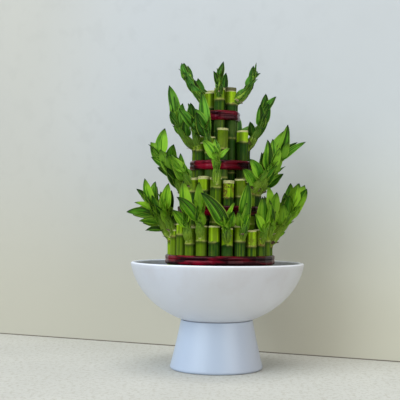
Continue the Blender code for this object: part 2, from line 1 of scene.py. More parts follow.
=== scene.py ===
"""Lucky bamboo: the looks of the four tiers of canes, their leafy shoots, red ties and white pot.

Metres, +Z up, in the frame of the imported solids. The front is -Y, and directions round the axis
are degrees from the front towards +X. The canes, shoots and leaves grow by the plan of the
solids, so each finer piece stands in the place of its solid.
"""

import math
import random
from contextlib import contextmanager
from dataclasses import dataclass, field

import bpy
from mathutils import Euler, Matrix, Vector, noise
from mathutils.bvhtree import BVHTree


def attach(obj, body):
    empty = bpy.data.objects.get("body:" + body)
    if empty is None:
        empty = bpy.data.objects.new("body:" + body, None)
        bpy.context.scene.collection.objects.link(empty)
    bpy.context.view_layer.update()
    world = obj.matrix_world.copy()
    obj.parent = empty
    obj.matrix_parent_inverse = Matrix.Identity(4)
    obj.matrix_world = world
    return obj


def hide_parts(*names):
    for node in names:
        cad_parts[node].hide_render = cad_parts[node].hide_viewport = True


bl_info = {
    "name": "Lucky bamboo in a footed bowl",
    "version": (1, 0, 0),
    "blender": (4, 5, 0),
    "location": "3D View > Sidebar > Bamboo",
    "description": "Grows and finishes a tiered lucky bamboo, its red ties and its white pot",
    "category": "Object",
}

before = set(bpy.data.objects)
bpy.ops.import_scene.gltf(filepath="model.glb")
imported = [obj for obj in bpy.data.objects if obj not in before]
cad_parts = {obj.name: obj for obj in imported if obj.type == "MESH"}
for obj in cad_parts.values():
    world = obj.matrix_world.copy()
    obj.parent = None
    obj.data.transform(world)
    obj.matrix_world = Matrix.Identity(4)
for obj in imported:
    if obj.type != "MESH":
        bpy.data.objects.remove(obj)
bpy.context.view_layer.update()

MM = 0.001
UP = Vector((0, 0, 1))

GAP = 0.3 * MM  # between two pieces that touch

# Foot: a hollow cone whose top ring carries the bowl.
FOOT_BASE_R = 48.6 * MM
FOOT_TOP_R = 37.8 * MM
FOOT_TOP_Z = 50.8 * MM
FOOT_WALL = 5.0 * MM
FOOT_EDGE = 2.2 * MM  # rounding of its lower edge
FOOT_WAIST = 0.5 * MM  # its side is hollowed by this much
FOOT_TOP_EDGE = 0.6 * MM  # rounding of its upper edge
SEAT_DEPTH = 2.4 * MM  # height of the ring inside it that the bowl sits in

# Bowl: its outside is half an ellipse, cut off by the rim.
BOWL_HALF_WIDTH = 91.6 * MM
BOWL_HALF_DEPTH = 75.0 * MM
BOWL_CENTRE_Z = 120.0 * MM
BOWL_WALL = 4.2 * MM
RIM_Z = 111.0 * MM
LIP_DEPTH = 1.8 * MM  # height of its rounded lip

# Pebbles: they fill the bowl round the plain hole that the canes stand in.
PEBBLE_TOP_Z = 104.0 * MM
PEBBLE_SIZE = 7.5 * MM  # usual width of a pebble
PEBBLE_CLEAR = 1.0 * MM  # to the bowl's wall
BED_DEPTH = 5.0 * MM  # from the tops of the pebbles down to the bed that they lie on
HOLE_R = 59.2 * MM  # the plain hole
CANE_FOOT_Z = 72.0 * MM  # where the canes end below, inside it

# Canes and the red ties round them. They stand a little to the right of the bowl's middle.
BUNDLE_MIDDLE = Vector((2.5 * MM, 0, 0))
CANE_SIDES = 8  # of the stand-in that is used for clearance
NODE_SWELL = 0.35 * MM  # a node stands out this much
NODE_HALF = 2.2 * MM  # half the height that it takes up
CUT_DISH = 0.8 * MM  # how far a cut is hollowed
TWIN_OVERLAP = 0.9 * MM  # how far two canes that have grown together run into each other
TIE_HALF = 4.7 * MM  # half its height
TIE_THICK = 1.9 * MM
TIE_BAND = 0.68  # share of its thickness that is a flat band
TIE_RIDGE = 0.3  # and share that is its two ridges
TIE_SAG = 0.8 * MM  # its lower edge hangs this much below its solid's
TIE_SLIP = 0.15 * MM  # and its upper edge this much
TIE_WANDER = 0.1 * MM  # how far it rises and falls on its way round

# Shoots and leaves.
STEM_SIDES = 5
STEM_TIP_R = 2.1 * MM  # a shoot narrows to this radius
BUD_DEPTH = 3.6 * MM  # a shoot starts this far inside its cane
BUD_RISE = 3.0 * MM  # and this far above the cane's node
LEAF_ROOT = 2.4 * MM  # how far a leaf starts inside its stem
LEAF_THICK = 1.15 * MM  # of its stand-in, at its foot
LEAF_FOLD = math.radians(20)  # how far the two halves of a leaf fold up from its midrib
LONG_LEAF = 27 * MM  # the stand-ins of leaves longer than this have one more station
MIRRORED_SIZE = 0.9  # a front shoot that is repeated at the back keeps this share of its size
SHORT_LEAF = 19  # millimetres: shorter ones are left out at the back
KEEP_CLEAR = 0.25 * MM  # added all round a leaf when it is tested against its neighbours
SEED = 7

# Finer detail than the solids have.
CANE_ROUND = 28
LEAF_FACES = (6, 17)  # across and along a full blade
SHEATH_FACES = (4, 9)  # and a small one that sheathes a shoot
SHORT_BLADE = 24 * MM  # blades up to this long are small ones
SHEATH_ROWS = 0.26  # share of a blade's rows that wrap its stem
SHEATH_OPENS = 0.3  # share of a blade's length over which the sheath opens out
LEAF_FULLER = 1.24  # blades are this much wider than those of the solids
SHEATH_STEP = 3.3 * MM  # between the small leaves that sheathe a shoot
STEM_ROUND = 14
STEM_STATIONS = 26
STEM_END = 1.5 * MM  # height of a stem's rounded end
STEM_RING = 0.08 * MM  # the rings of a stem stand out this much
STEM_RING_HALF = 0.5 * MM  # half their height
BLADE_FOLD = (36, 22)  # fold of a finished blade at its foot and near its point, in degrees
CANE_WANDER = 0.16 * MM  # how far a cane's middle strays,
CANE_RIPPLE = 0.11 * MM  # how uneven its rind is,
CANE_WART = 0.5 * MM  # how far its scars stand out
CUT_RAG = 0.28 * MM  # and how ragged its cut is

# A node ring and a cut, as millimetres (up from the ring, out from the rind, share of the ring's
# colour) and (down from the cut, in from the rind).
NODE_SHAPE = (
    (-3.2, 0.0, 0.0), (-1.3, 0.08, 0.1), (-0.45, 0.26, 0.7), (-0.05, 0.35, 1.0),
    (0.2, 0.12, 1.0), (0.5, 0.16, 0.7), (1.6, 0.02, 0.15),
)
CUT_SHAPE = (
    (5.0, 0.0), (2.4, 0.0), (1.3, -0.06), (0.5, -0.04), (0.12, 0.12), (0.0, 0.4),
    (0.06, 0.75), (0.35, 1.3), (0.6, 2.6), (0.75, 4.4),
)

# How far each front cane has turned from deep green to yellow, where it shows: below its top node
# and above it.
CANE_TONES = {
    ("outer", 18): (1.9, 1.3), ("outer", 19): (1.0, 0.9), ("outer", 20): (0.6, 0.6),
    ("outer", 21): (0.65, 0.5), ("outer", 22): (0.7, 0.45), ("outer", 23): (0.3, 0.95),
    ("outer", 0): (0.25, 0.55), ("outer", 1): (0.35, 0.55), ("outer", 2): (0.5, 0.65),
    ("outer", 3): (0.45, 0.6), ("outer", 4): (0.55, 0.6), ("outer", 5): (0.5, 0.5),
    ("second", 0): (0.35, 0.8), ("second", 1): (0.45, 0.4), ("second", 15): (0.4, 0.6),
    ("second", 16): (0.4, 1.0), ("second", 17): (0.5, 0.05), ("third", 0): (0.1, 0.15),
    ("third", 2): (0.2, 1.5), ("third", 11): (0.3, 0.3), ("inner", 0): (0.3, 0.3),
    ("inner", 1): (0.1, 1.6), ("inner", 5): (0.3, 0.5),
}

# Millimetres of dried rind below a cut, and how scarred a cane is, where they show.
DRY_TOPS = {
    ("inner", 1): 4.6, ("inner", 0): 2.2, ("inner", 5): 1.2, ("third", 0): 2.0, ("third", 2): 1.6,
    ("second", 15): 2.4, ("second", 16): 2.6, ("second", 17): 1.8, ("second", 0): 2.8,
    ("second", 1): 1.6, ("outer", 0): 1.0, ("outer", 1): 2.0, ("outer", 2): 1.2,
    ("outer", 3): 1.2, ("outer", 4): 4.2, ("outer", 21): 1.5, ("outer", 18): 3.4,
}
SCARS = {
    ("second", 0): 1.0, ("second", 2): 0.7, ("outer", 3): 0.75, ("outer", 2): 0.5,
    ("outer", 18): 0.7, ("outer", 19): 0.55, ("third", 9): 0.6, ("third", 3): 0.6,
    ("second", 14): 0.6, ("inner", 1): 0.35, ("outer", 5): 0.6,
}

# How much bluer the leaves are in each tier, and how slim its small leaves are.
TIER_AGE = {"outer": 0.0, "second": 0.25, "third": 0.7, "inner": 1.0}
SLIMMER = {"outer": 1.0, "second": 0.95, "third": 0.8, "inner": 0.62}

# Tints, as what each colour is multiplied by.
WALL_FOOT = (1.02, 0.945, 0.77)  # the wall near the floor,
WALL_LEFT = (1.03, 0.985, 0.89)  # at its left
# Painted light: the wall is painted lighter low down at its right, where shadow falls.
WALL_RIGHT_LIGHT = (1.085, 1.095, 1.08)  # and low down at its right
FLOOR_PIT = (0.72, 0.69, 0.62)  # the floor's fine pits
GLAZE_PATCH = (0.955, 0.93, 0.915)  # faint warm patches of the glaze
# Painted light: tints for a pot piece's lit left side and shaded right side.
BOWL_LIGHT_SIDES = ((1.08, 1.11, 1.17), (0.99, 0.975, 0.97))  # the bowl's left side and its right side
FOOT_LIGHT_SIDES = ((1.19, 1.21, 1.24), (1.02, 0.935, 0.89))  # and the foot's
# Painted light on a tie: lighter on its left side, darker on its right.
RIBBON_SHADED_RIGHT, RIBBON_LIT_LEFT = (0.58, 0.58, 0.58), (1.35, 1.35, 1.35)  # a tie's two sides
# The wall's dark joint line with the floor is partly a painted shadow in the corner.
WALL_JOINT_AND_SHADE = (0.17, 0.15, 0.12)  # colour of the joint between the wall and the floor
STAGE_ROUGHNESS = 0.8

# The lowest sheaths of a shoot stand out from it like a cup, most of all on these front ones.
PLAIN_CUP = 1.0 * MM
CUPS = {
    ("outer", 0): 1.7 * MM, ("outer", 1): 1.5 * MM, ("outer", 21): 1.9 * MM,
    ("outer", 22): 1.7 * MM, ("outer", 3): 1.4 * MM, ("second", 17): 1.2 * MM,
}
CUP_RISE = 8.0 * MM  # its middle, along the shoot
CUP_HALF = 7.0 * MM


@dataclass
class Tier:
    name: str
    places: int  # equal places round the ring
    empty: tuple  # places that hold no cane
    twins: tuple  # places whose cane has grown together with the next one
    turn: float  # direction of place 0
    ring: float  # radius of the ring through the canes' axes
    cane: float  # radius of a cane between its nodes
    top: float  # usual height of the cut tops
    tie: float  # height of the middle of the red tie


TIERS = (
    Tier("outer", 24, (), (9, 11, 13), 8, 49.4 * MM, 6.0 * MM, 149 * MM, 114.6 * MM),
    Tier("second", 18, (), (7, 9), 12, 36.9 * MM, 5.95 * MM, 196 * MM, 165 * MM),
    Tier("third", 12, (1,), (6,), 3, 24.6 * MM, 5.9 * MM, 242 * MM, 212 * MM),
    Tier("inner", 6, (), (), -10, 12.4 * MM, 5.8 * MM, 290 * MM, 264 * MM),
)

# The canes that face the front: how much higher they are cut than the rest of their tier, and
# how far the top node lies below the cut, in millimetres.
CUTS = {
    ("inner", 0): (2, 12),
    ("inner", 1): (3, 17),
    ("inner", 5): (-2, 16),
    ("third", 0): (7, 21),
    ("third", 2): (6, 12),
    ("third", 3): (-4, 10),
    ("third", 9): (-5, 9),
    ("third", 10): (-7, 8),
    ("third", 11): (-2, 16),
    ("second", 0): (-1, 17),
    ("second", 1): (1, 18),
    ("second", 2): (-2, 12),
    ("second", 3): (-3, 12),
    ("second", 13): (-4, 8),
    ("second", 14): (-3, 16),
    ("second", 15): (2, 14),
    ("second", 16): (3, 14),
    ("second", 17): (2, 10),
    ("outer", 0): (-2, 17),
    ("outer", 1): (1, 16),
    ("outer", 2): (-4, 16),
    ("outer", 3): (-3, 16),
    ("outer", 4): (4, 19),
    ("outer", 5): (-3, 18),
    ("outer", 18): (-9, 7),
    ("outer", 19): (-4, 7),
    ("outer", 20): (2, 11),
    ("outer", 21): (-1, 17),
    ("outer", 22): (0, 15),
    ("outer", 23): (0, 16),
}


@dataclass
class Growth:
    """A shoot, in degrees and millimetres.

    A leaf's row gives its place along the shoot, how far it leans to the right from upright and
    how far towards the viewer, its length and its width. The viewer stands at bearing view.
    """

    aim: float  # level direction in which the shoot leaves its cane
    start: float  # its slope there
    end: float  # its slope at its tip
    length: float
    leaves: tuple
    view: float = 0


# The shoots that face the front and the two sides. None: no shoot.
SHOOTS = {
    ("inner", 0): Growth(-8, 72, 88, 18, (
        (0.45, -19, 14, 19, 7), (0.6, 8, -4, 26, 8), (0.3, -6, -22, 16, 6),
        (0.5, 14, 24, 13, 6),
    )),
    ("inner", 1): Growth(86, 26, 75, 34, (
        (0.15, 44, 12, 15, 8), (0.4, 30, -14, 14, 7), (0.6, 18, 18, 16, 7),
        (0.8, 9, 0, 18, 7), (0.88, 46, -10, 12, 6),
    )),
    ("inner", 5): Growth(-86, 40, 62, 41, (
        (0.12, -40, 14, 24, 9), (0.3, -22, -14, 21, 8), (0.45, -32, 18, 20, 8),
        (0.6, -30, 10, 18, 8), (0.8, -20, 4, 20, 8), (0.95, -10, -14, 15, 7),
    )),
    ("third", 0): None,
    ("third", 2): None,
    ("third", 3): Growth(84, 50, 78, 42, (
        (0.25, -6, 18, 20, 8), (0.36, 26, -16, 16, 8), (0.5, 4, 12, 28, 12),
        (0.65, 20, 14, 25, 11), (0.75, 9, -16, 34, 9), (0.97, 31, 4, 22, 8),
        (1.0, 16, -12, 15, 9),
    )),
    ("third", 9): Growth(-88, 32, 86, 44, (
        (0.12, -49, 10, 13, 7), (0.25, -10, 20, 22, 9), (0.36, 8, -12, 22, 9),
        (0.45, -32, -18, 17, 8), (0.55, 2, 12, 29, 11), (0.66, -28, 14, 18, 9),
        (0.8, -12, 0, 38, 12), (0.9, -4, -18, 22, 10),
    )),
    ("third", 10): Growth(-52, 62, 82, 26, (
        (0.45, 6, 20, 26, 10), (0.7, -37, 6, 28, 10), (0.92, -8, 12, 23, 10),
    )),
    ("third", 11): Growth(-30, 66, 84, 22, (
        (0.4, -22, 26, 34, 11), (0.6, -7, 12, 46, 11), (0.8, -26, 18, 28, 10),
        (1.0, 6, 6, 22, 9),
    )),
    ("second", 0): None,
    ("second", 1): None,
    ("second", 2): Growth(66, 44, 54, 32, (
        (0.2, -32, 24, 25, 10), (0.45, -22, 18, 25, 12), (0.7, 6, 12, 36, 10),
        (0.85, 9, -8, 34, 10), (1.0, 24, 10, 22, 10),
    )),
    ("second", 3): Growth(84, 48, 68, 40, (
        (0.25, 42, 18, 19, 8), (0.4, 4, 20, 26, 10), (0.55, 10, -18, 26, 11),
        (0.75, 20, 6, 48, 14), (0.85, 50, -6, 41, 7), (0.95, 30, 14, 24, 11),
    )),
    ("second", 13): Growth(-88, 50, 58, 40, (
        (0.3, -60, 8, 20, 8), (0.45, -62, -14, 19, 8), (0.55, 4, 14, 30, 12),
        (0.64, -54, 12, 23, 10), (0.78, -15, -20, 33, 11), (0.87, -42, 10, 22, 10),
        (0.92, -1, 6, 34, 13), (1.0, -34, -8, 21, 10),
    )),
    ("second", 14): Growth(-74, 52, 62, 26, (
        (0.3, -34, 20, 28, 11), (0.6, -38, 6, 28, 10), (0.75, -20, 24, 30, 11),
        (0.95, -28, 8, 30, 11),
    )),
    ("second", 15): Growth(-60, 52, 66, 20, (
        (0.3, -36, 22, 32, 12), (0.6, -27, 12, 25, 10), (0.8, -46, 20, 28, 11),
        (0.95, -38, 30, 26, 10),
    )),
    ("second", 16): None,
    ("second", 17): Growth(6, 74, 88, 25, (
        (0.5, 18, 22, 13, 7), (0.72, -5, 20, 16, 8), (0.88, -30, 14, 27, 12),
        (0.97, 42, 8, 18, 5), (1.0, 6, -10, 18, 7),
    )),
    ("outer", 0): Growth(-4, 70, 84, 16, (
        (0.6, -31, 16, 49, 14), (0.8, 16, 26, 22, 10),
    )),
    ("outer", 1): Growth(40, 62, 80, 15, (
        (0.55, -14, 26, 22, 10), (0.8, 3, 14, 46, 12),
    )),
    ("outer", 2): None,
    ("outer", 3): Growth(48, 66, 80, 16, (
        (0.5, -22, 24, 26, 10), (0.7, -2, 14, 37, 12), (1.0, 14, 6, 26, 10),
    )),
    ("outer", 4): Growth(74, 62, 82, 18, (
        (0.5, -2, 20, 33, 8), (0.8, -5, 4, 41, 10), (0.9, 8, 16, 34, 11),
    )),
    ("outer", 5): Growth(86, 48, 60, 45, (
        (0.2, 58, 6, 12, 6), (0.38, 7, 18, 30, 11), (0.45, 14, -18, 30, 11),
        (0.58, 8, 10, 31, 12), (0.7, 34, -14, 26, 11), (0.78, 11, 14, 37, 11),
        (0.88, 23, -2, 33, 13), (1.0, 30, 12, 25, 10),
    )),
    ("outer", 18): Growth(-88, 54, 66, 36, (
        (0.3, -88, 8, 20, 7), (0.5, -80, -12, 24, 8), (0.62, -18, 18, 28, 11),
        (0.75, -82, 4, 32, 10), (0.84, -20, 4, 38, 11), (0.9, -66, 10, 23, 7),
        (0.96, -42, -6, 29, 10), (1.0, -1, -14, 29, 10),
    )),
    ("outer", 19): Growth(-66, 58, 74, 22, (
        (0.45, -30, 22, 20, 8), (0.8, -14, 12, 28, 10), (0.95, 2, 8, 33, 11),
    )),
    ("outer", 20): None,
    ("outer", 21): Growth(-34, 68, 84, 22, (
        (0.5, -34, 10, 26, 10), (0.7, 6, 20, 22, 9), (0.95, -4, 8, 40, 12),
    )),
    ("outer", 22): Growth(-20, 70, 86, 20, (
        (0.45, 10, 28, 20, 8), (0.6, -36, 22, 39, 12), (0.85, -3, 12, 40, 10),
    )),
    ("outer", 23): None,
}

# How a leaf that would cross a neighbour is bent clear, the least change first:
# degrees to the right, degrees towards the viewer, and a share of its length.
LEAF_TRIES = (
    (0, 0, 1.0), (0, 8, 1.0), (0, -8, 1.0), (6, 0, 1.0), (-6, 0, 1.0), (0, 16, 1.0),
    (0, -16, 0.95), (12, 6, 0.95), (-12, 6, 0.95), (0, 26, 0.9), (0, -26, 0.9),
    (16, -10, 0.85), (-16, -10, 0.85), (22, 22, 0.8), (-22, 22, 0.8), (0, 0, 0.7),
    (30, 10, 0.7), (-30, 10, 0.7), (0, 36, 0.7), (0, 12, 0.55),
)
STEM_TRIES = (0, 6, -6, 12, -12, 20, -20, 30, -30)  # the same for a stem, turned level
GOLDEN_ANGLE = 137.5  # from one small leaf of a shoot to the next, in degrees


def bearing(degrees):
    """The level direction that many degrees from the front towards +X."""
    turn = math.radians(degrees)
    return Vector((math.sin(turn), -math.cos(turn), 0))


@dataclass
class Arc:
    """A flat curve of even bend, from start, turning from the direction along towards across."""

    start: Vector
    along: Vector
    across: Vector
    first: float
    last: float
    length: float

    def slope(self, t):
        return self.first + (self.last - self.first) * t

    def point(self, t):
        bend = self.last - self.first
        if abs(bend) < 1e-4:
            return self.start + self.heading(0) * self.length * t
        reach = (math.sin(self.slope(t)) - math.sin(self.first)) / bend
        rise = (math.cos(self.first) - math.cos(self.slope(t))) / bend
        return self.start + (self.along * reach + self.across * rise) * self.length

    def heading(self, t):
        return self.along * math.cos(self.slope(t)) + self.across * math.sin(self.slope(t))

    def facing(self, t):
        """Square to the curve, in its plane, on the side of along."""
        return self.along * math.sin(self.slope(t)) - self.across * math.cos(self.slope(t))


@dataclass
class Leaf:
    midrib: Arc
    half_width: float
    roll: float  # turns the upper face about the midrib
    twist: float  # how much more it is turned at its tip
    root: float = 0  # place along its shoot

    def frame(self, t):
        """Point on the midrib, the direction the upper face looks, and the direction across."""
        facing = self.midrib.facing(t)
        across = self.midrib.heading(t).cross(facing)
        turn = self.roll + self.twist * t
        return (
            self.midrib.point(t),
            facing * math.cos(turn) + across * math.sin(turn),
            across * math.cos(turn) - facing * math.sin(turn),
        )

    def half(self, t):
        """Half the width at t: widest before the middle, drawn out to a point."""
        widest = 0.42
        if not 0 < t < 1:
            return 0
        return self.half_width * (t / widest) ** 0.58 * ((1 - t) / (1 - widest)) ** 0.76


@dataclass
class Shoot:
    stem: Arc
    base_r: float
    leaves: list = field(default_factory=list)
    cup: float = 0  # how far its lowest sheaths stand out

    def radius(self, t):
        return self.base_r + (STEM_TIP_R - self.base_r) * t**0.8


@dataclass
class Cane:
    tier: Tier
    place: int
    direction: float
    radius: float
    top: float
    node: float
    shoot: Shoot = None

    @property
    def centre(self):
        return BUNDLE_MIDDLE + bearing(self.direction) * self.tier.ring


def tube_faces(rows, sides):
    """Faces of a skin over rows of sides points each, with its two ends filled."""
    faces = []
    last = (rows - 1) * sides
    for a in range(0, last, sides):
        b = a + sides
        for k in range(sides):
            n = (k + 1) % sides
            faces.append((a + k, a + n, b + n, b + k))
    faces.append(tuple(reversed(range(sides))))
    faces.append(tuple(range(last, last + sides)))
    return faces


def stem_mesh(shoot, grow):
    """A plain stand-in for a stem, for the clearance test."""
    points = []
    stations = (0, 0.5, 1)
    level = shoot.stem.along.cross(shoot.stem.across)
    for t in stations:
        centre, facing = shoot.stem.point(t), shoot.stem.facing(t)
        for k in range(STEM_SIDES):
            turn = math.tau * k / STEM_SIDES
            out = facing * math.cos(turn) + level * math.sin(turn)
            points.append(centre + out * (shoot.radius(t) + grow))
    return points, tube_faces(len(stations), STEM_SIDES)


def leaf_mesh(leaf, grow=0.0):
    """A keeled blade: three points at each station, and one at the root and at the tip."""
    long = leaf.midrib.length > LONG_LEAF
    points = [leaf.midrib.point(0)]
    for t in (0.22, 0.48, 0.78) if long else (0.3, 0.68):
        middle, facing, across = leaf.frame(t)
        half = leaf.half(t) + grow
        lift = facing * math.sin(LEAF_FOLD) * half * (1 - 0.45 * t)
        points += [
            middle + across * half + lift,
            middle - facing * (LEAF_THICK * (1 - 0.35 * t) + grow),
            middle - across * half + lift,
        ]
    points.append(leaf.midrib.point(1) + leaf.midrib.heading(1) * grow)
    tip = len(points) - 1
    faces = []
    for k in range(3):
        n = (k + 1) % 3
        faces.append((0, 1 + n, 1 + k))
        for i in range(1, tip - 3, 3):
            faces.append((i + k, i + n, i + n + 3, i + k + 3))
        faces.append((tip - 3 + k, tip - 3 + n, tip))
    return points, faces


def cane_tube(cane, grow):
    """A plain stand-in for a cane, for the clearance test."""
    points = []
    for z in (CANE_FOOT_Z, cane.top + grow):
        for k in range(CANE_SIDES):
            turn = math.tau * (k + 0.5) / CANE_SIDES
            out = Vector((math.cos(turn), math.sin(turn), 0)) * (cane.radius + NODE_SWELL + grow)
            points.append(cane.centre + out + UP * z)
    return points, tube_faces(2, CANE_SIDES)


class Room:
    """What has grown so far, to keep each new piece clear of it."""

    def __init__(self):
        self.taken = []

    @staticmethod
    def box(points):
        low = [min(p[i] for p in points) for i in range(3)]
        high = [max(p[i] for p in points) for i in range(3)]
        return low, high

    def add(self, skin):
        self.taken.append((*self.box(skin[0]), BVHTree.FromPolygons(*skin)))
        return len(self.taken) - 1

    def free(self, skin, skip):
        low, high = self.box(skin[0])
        tree = None
        for number, (other_low, other_high, other) in enumerate(self.taken):
            if number in skip:
                continue
            if any(low[i] > other_high[i] or high[i] < other_low[i] for i in range(3)):
                continue
            tree = tree or BVHTree.FromPolygons(*skin)
            if tree.overlap(other):
                return False
        return True


def place_canes(rng):
    """Every cane by tier and place. Two that have grown together stand closer."""
    canes = {}
    for tier in TIERS:
        step = 360 / tier.places
        for place in range(tier.places):
            cut_jitter, drop_jitter = rng.uniform(-3, 3), rng.uniform(11, 17)
            slim = rng.uniform(0, 0.35) * MM
            if place in tier.empty:
                continue
            higher, drop = CUTS.get((tier.name, place), (cut_jitter, drop_jitter))
            top = tier.top + higher * MM
            direction = tier.turn + step * place
            twin = place in tier.twins or place - 1 in tier.twins
            if twin:
                slim = 0.1 * MM
                apart = 2 * (tier.cane - slim) - TWIN_OVERLAP
                close = step / 2 - math.degrees(math.asin(apart / 2 / tier.ring))
                direction += close if place in tier.twins else -close
            canes[tier.name, place] = Cane(
                tier=tier,
                place=place,
                direction=direction,
                radius=tier.cane - slim,
                top=top,
                node=max(top - drop * MM, tier.tie + TIE_HALF + NODE_HALF + GAP),
            )
    return canes


def mirrored(growth):
    """The same shoot on the far side of the plant, a little smaller."""
    rows = tuple(
        (t, -lean, forward, length * MIRRORED_SIZE, width)
        for t, lean, forward, length, width in growth.leaves
        if length > SHORT_LEAF
    )
    return Growth(
        180 - growth.aim, growth.start, growth.end, growth.length * MIRRORED_SIZE, rows, 180
    )


def grown_by_rule(cane, rng):
    """A shoot as someone who looks at this side of the plant would see it."""
    aim = cane.direction + rng.uniform(-12, 12)
    start = rng.uniform(36, 50)
    end = start + rng.uniform(14, 22)
    rows = []
    side = rng.choice((-1, 1))
    for t in (0.35, 0.7, 1.0):
        side = -side
        lean = side * rng.uniform(26, 50) * (1.15 - 0.9 * t)
        forward = 90 - (start + (end - start) * t) + rng.uniform(-10, 10)
        long = rng.uniform(24, 32)
        rows.append((t, lean, forward, long, long * rng.uniform(0.28, 0.36)))
    return Growth(aim, start, end, rng.uniform(18, 26), tuple(rows), cane.direction)


def growth_of(cane, rng):
    """A shoot's own plan, or else that of the front shoot opposite it, or else one by rule."""
    by_rule = grown_by_rule(cane, rng)
    tier = cane.tier
    if (tier.name, cane.place) in SHOOTS:
        return SHOOTS[tier.name, cane.place]
    opposite = round((180 - 2 * tier.turn) * tier.places / 360) - cane.place
    front = SHOOTS.get((tier.name, opposite % tier.places))
    return mirrored(front) if front else by_rule


def stem_of(cane, growth, turn):
    """The stem that a plan asks for, with its level direction turned by some degrees."""
    aim = bearing(growth.aim + turn)
    start = cane.centre + aim * (cane.radius - BUD_DEPTH) + UP * (cane.node + BUD_RISE)
    slopes = math.radians(growth.start), math.radians(growth.end)
    base_r = min(3.9, 2.9 + growth.length * 0.03) * MM
    return Shoot(Arc(start, aim, UP, *slopes, growth.length * MM), base_r)


def roll_to(view, midrib, aside):
    """The roll that shows a leaf's upper face to a viewer, and a little upwards."""
    facing = midrib.facing(0.5)
    across = midrib.heading(0.5).cross(facing)
    look = view - aside * 0.5 + UP * 0.15
    return math.atan2(look.dot(across), look.dot(facing))


def leaf_of(shoot, growth, row, jitter, change):
    """The leaf that a row of a plan asks for, a little uneven, and changed to find room."""
    t, lean, forward, length, width = row
    lean = math.radians(lean + jitter[0] + change[0])
    forward = math.radians(forward + jitter[1] + change[1])
    view, right = bearing(growth.view), bearing(growth.view + 90)
    chord = right * math.sin(lean) + UP * math.cos(lean)
    chord = chord * math.cos(forward) + view * math.sin(forward)
    heading = shoot.stem.heading(t)
    apart = heading.angle(chord)
    aside = chord - heading * chord.dot(heading)
    aside = aside.normalized() if apart > 0.02 else right
    bend = min(0.45 * apart, math.radians(15))
    midrib = Arc(
        shoot.stem.point(t) - heading * LEAF_ROOT, heading, aside,
        apart - bend, apart + bend, length * MM * change[2] + LEAF_ROOT,
    )
    roll = roll_to(view, midrib, aside) + math.radians(jitter[2])
    return Leaf(midrib, width * MM / 2, roll, math.radians(jitter[3]), t)


def grow(canes, rng):
    """Adds the shoots and their leaves, each bent clear of what has grown before it."""
    room = Room()
    own = {key: {room.add(cane_tube(cane, KEEP_CLEAR))} for key, cane in canes.items()}
    growths = {key: growth_of(cane, rng) for key, cane in canes.items()}
    order = [key for key in canes if key in SHOOTS] + [key for key in canes if key not in SHOOTS]
    order = [key for key in order if growths[key]]
    for key in order:
        for turn in STEM_TRIES:
            shoot = stem_of(canes[key], growths[key], turn)
            skin = stem_mesh(shoot, KEEP_CLEAR)
            if room.free(skin, own[key]):
                canes[key].shoot = shoot
                own[key].add(room.add(skin))
                break
    for key in order:
        shoot, growth = canes[key].shoot, growths[key]
        for row in reversed(growth.leaves):
            jitter = (rng.uniform(-2, 2), rng.uniform(-3, 3), rng.uniform(-22, 22), rng.uniform(-20, 20))
            for change in LEAF_TRIES if shoot else ():
                leaf = leaf_of(shoot, growth, row, jitter, change)
                skin = leaf_mesh(leaf, KEEP_CLEAR)
                if room.free(skin, own[key]):
                    shoot.leaves.append(leaf)
                    own[key].add(room.add(skin))
                    break
    return growths, room, own


def fill_out(canes, growths, room, own, rng):
    """Adds the small leaves that sheathe each shoot between its main ones, where there is room."""
    for key, growth in growths.items():
        shoot = canes[key].shoot
        if not growth or not shoot:
            continue
        stem = shoot.stem
        view = bearing(growth.view)
        count = max(2, round(stem.length / SHEATH_STEP))
        turn = rng.uniform(0, math.tau)
        for i in range(count):
            t = 0.14 + 0.86 * (i + 0.6) / count
            turn += math.radians(GOLDEN_ANGLE + rng.uniform(-25, 25))
            heading, facing = stem.heading(t), stem.facing(t)
            aside = facing * math.cos(turn) + heading.cross(facing) * math.sin(turn)
            slim = SLIMMER[canes[key].tier.name]
            apart = math.radians(rng.uniform(7, 19)) * slim
            length = rng.uniform(17, 27) * (0.7 + 0.35 * t) * slim * MM
            for closer, share in ((1, 1), (0.6, 1), (0.5, 0.8), (0.35, 0.65), (0.2, 0.5)):
                midrib = Arc(
                    stem.point(t) - heading * LEAF_ROOT, heading, aside,
                    0.4 * apart * closer, 1.35 * apart * closer, length * share + LEAF_ROOT,
                )
                roll = 0.8 * roll_to(view, midrib, aside) + math.radians(rng.uniform(-20, 20))
                half = max(2.7 * MM, 0.155 * length * share) * slim
                leaf = Leaf(midrib, half, roll, math.radians(rng.uniform(-20, 20)), t)
                skin = leaf_mesh(leaf)
                if room.free(skin, own[key]):
                    shoot.leaves.append(leaf)
                    own[key].add(room.add(skin))
                    break


def plan():
    """Every cane with its shoot and leaves, the same in each run."""
    rng = random.Random(SEED)
    canes = place_canes(rng)
    growths, room, own = grow(canes, rng)
    fill_out(canes, growths, room, own, rng)
    return canes


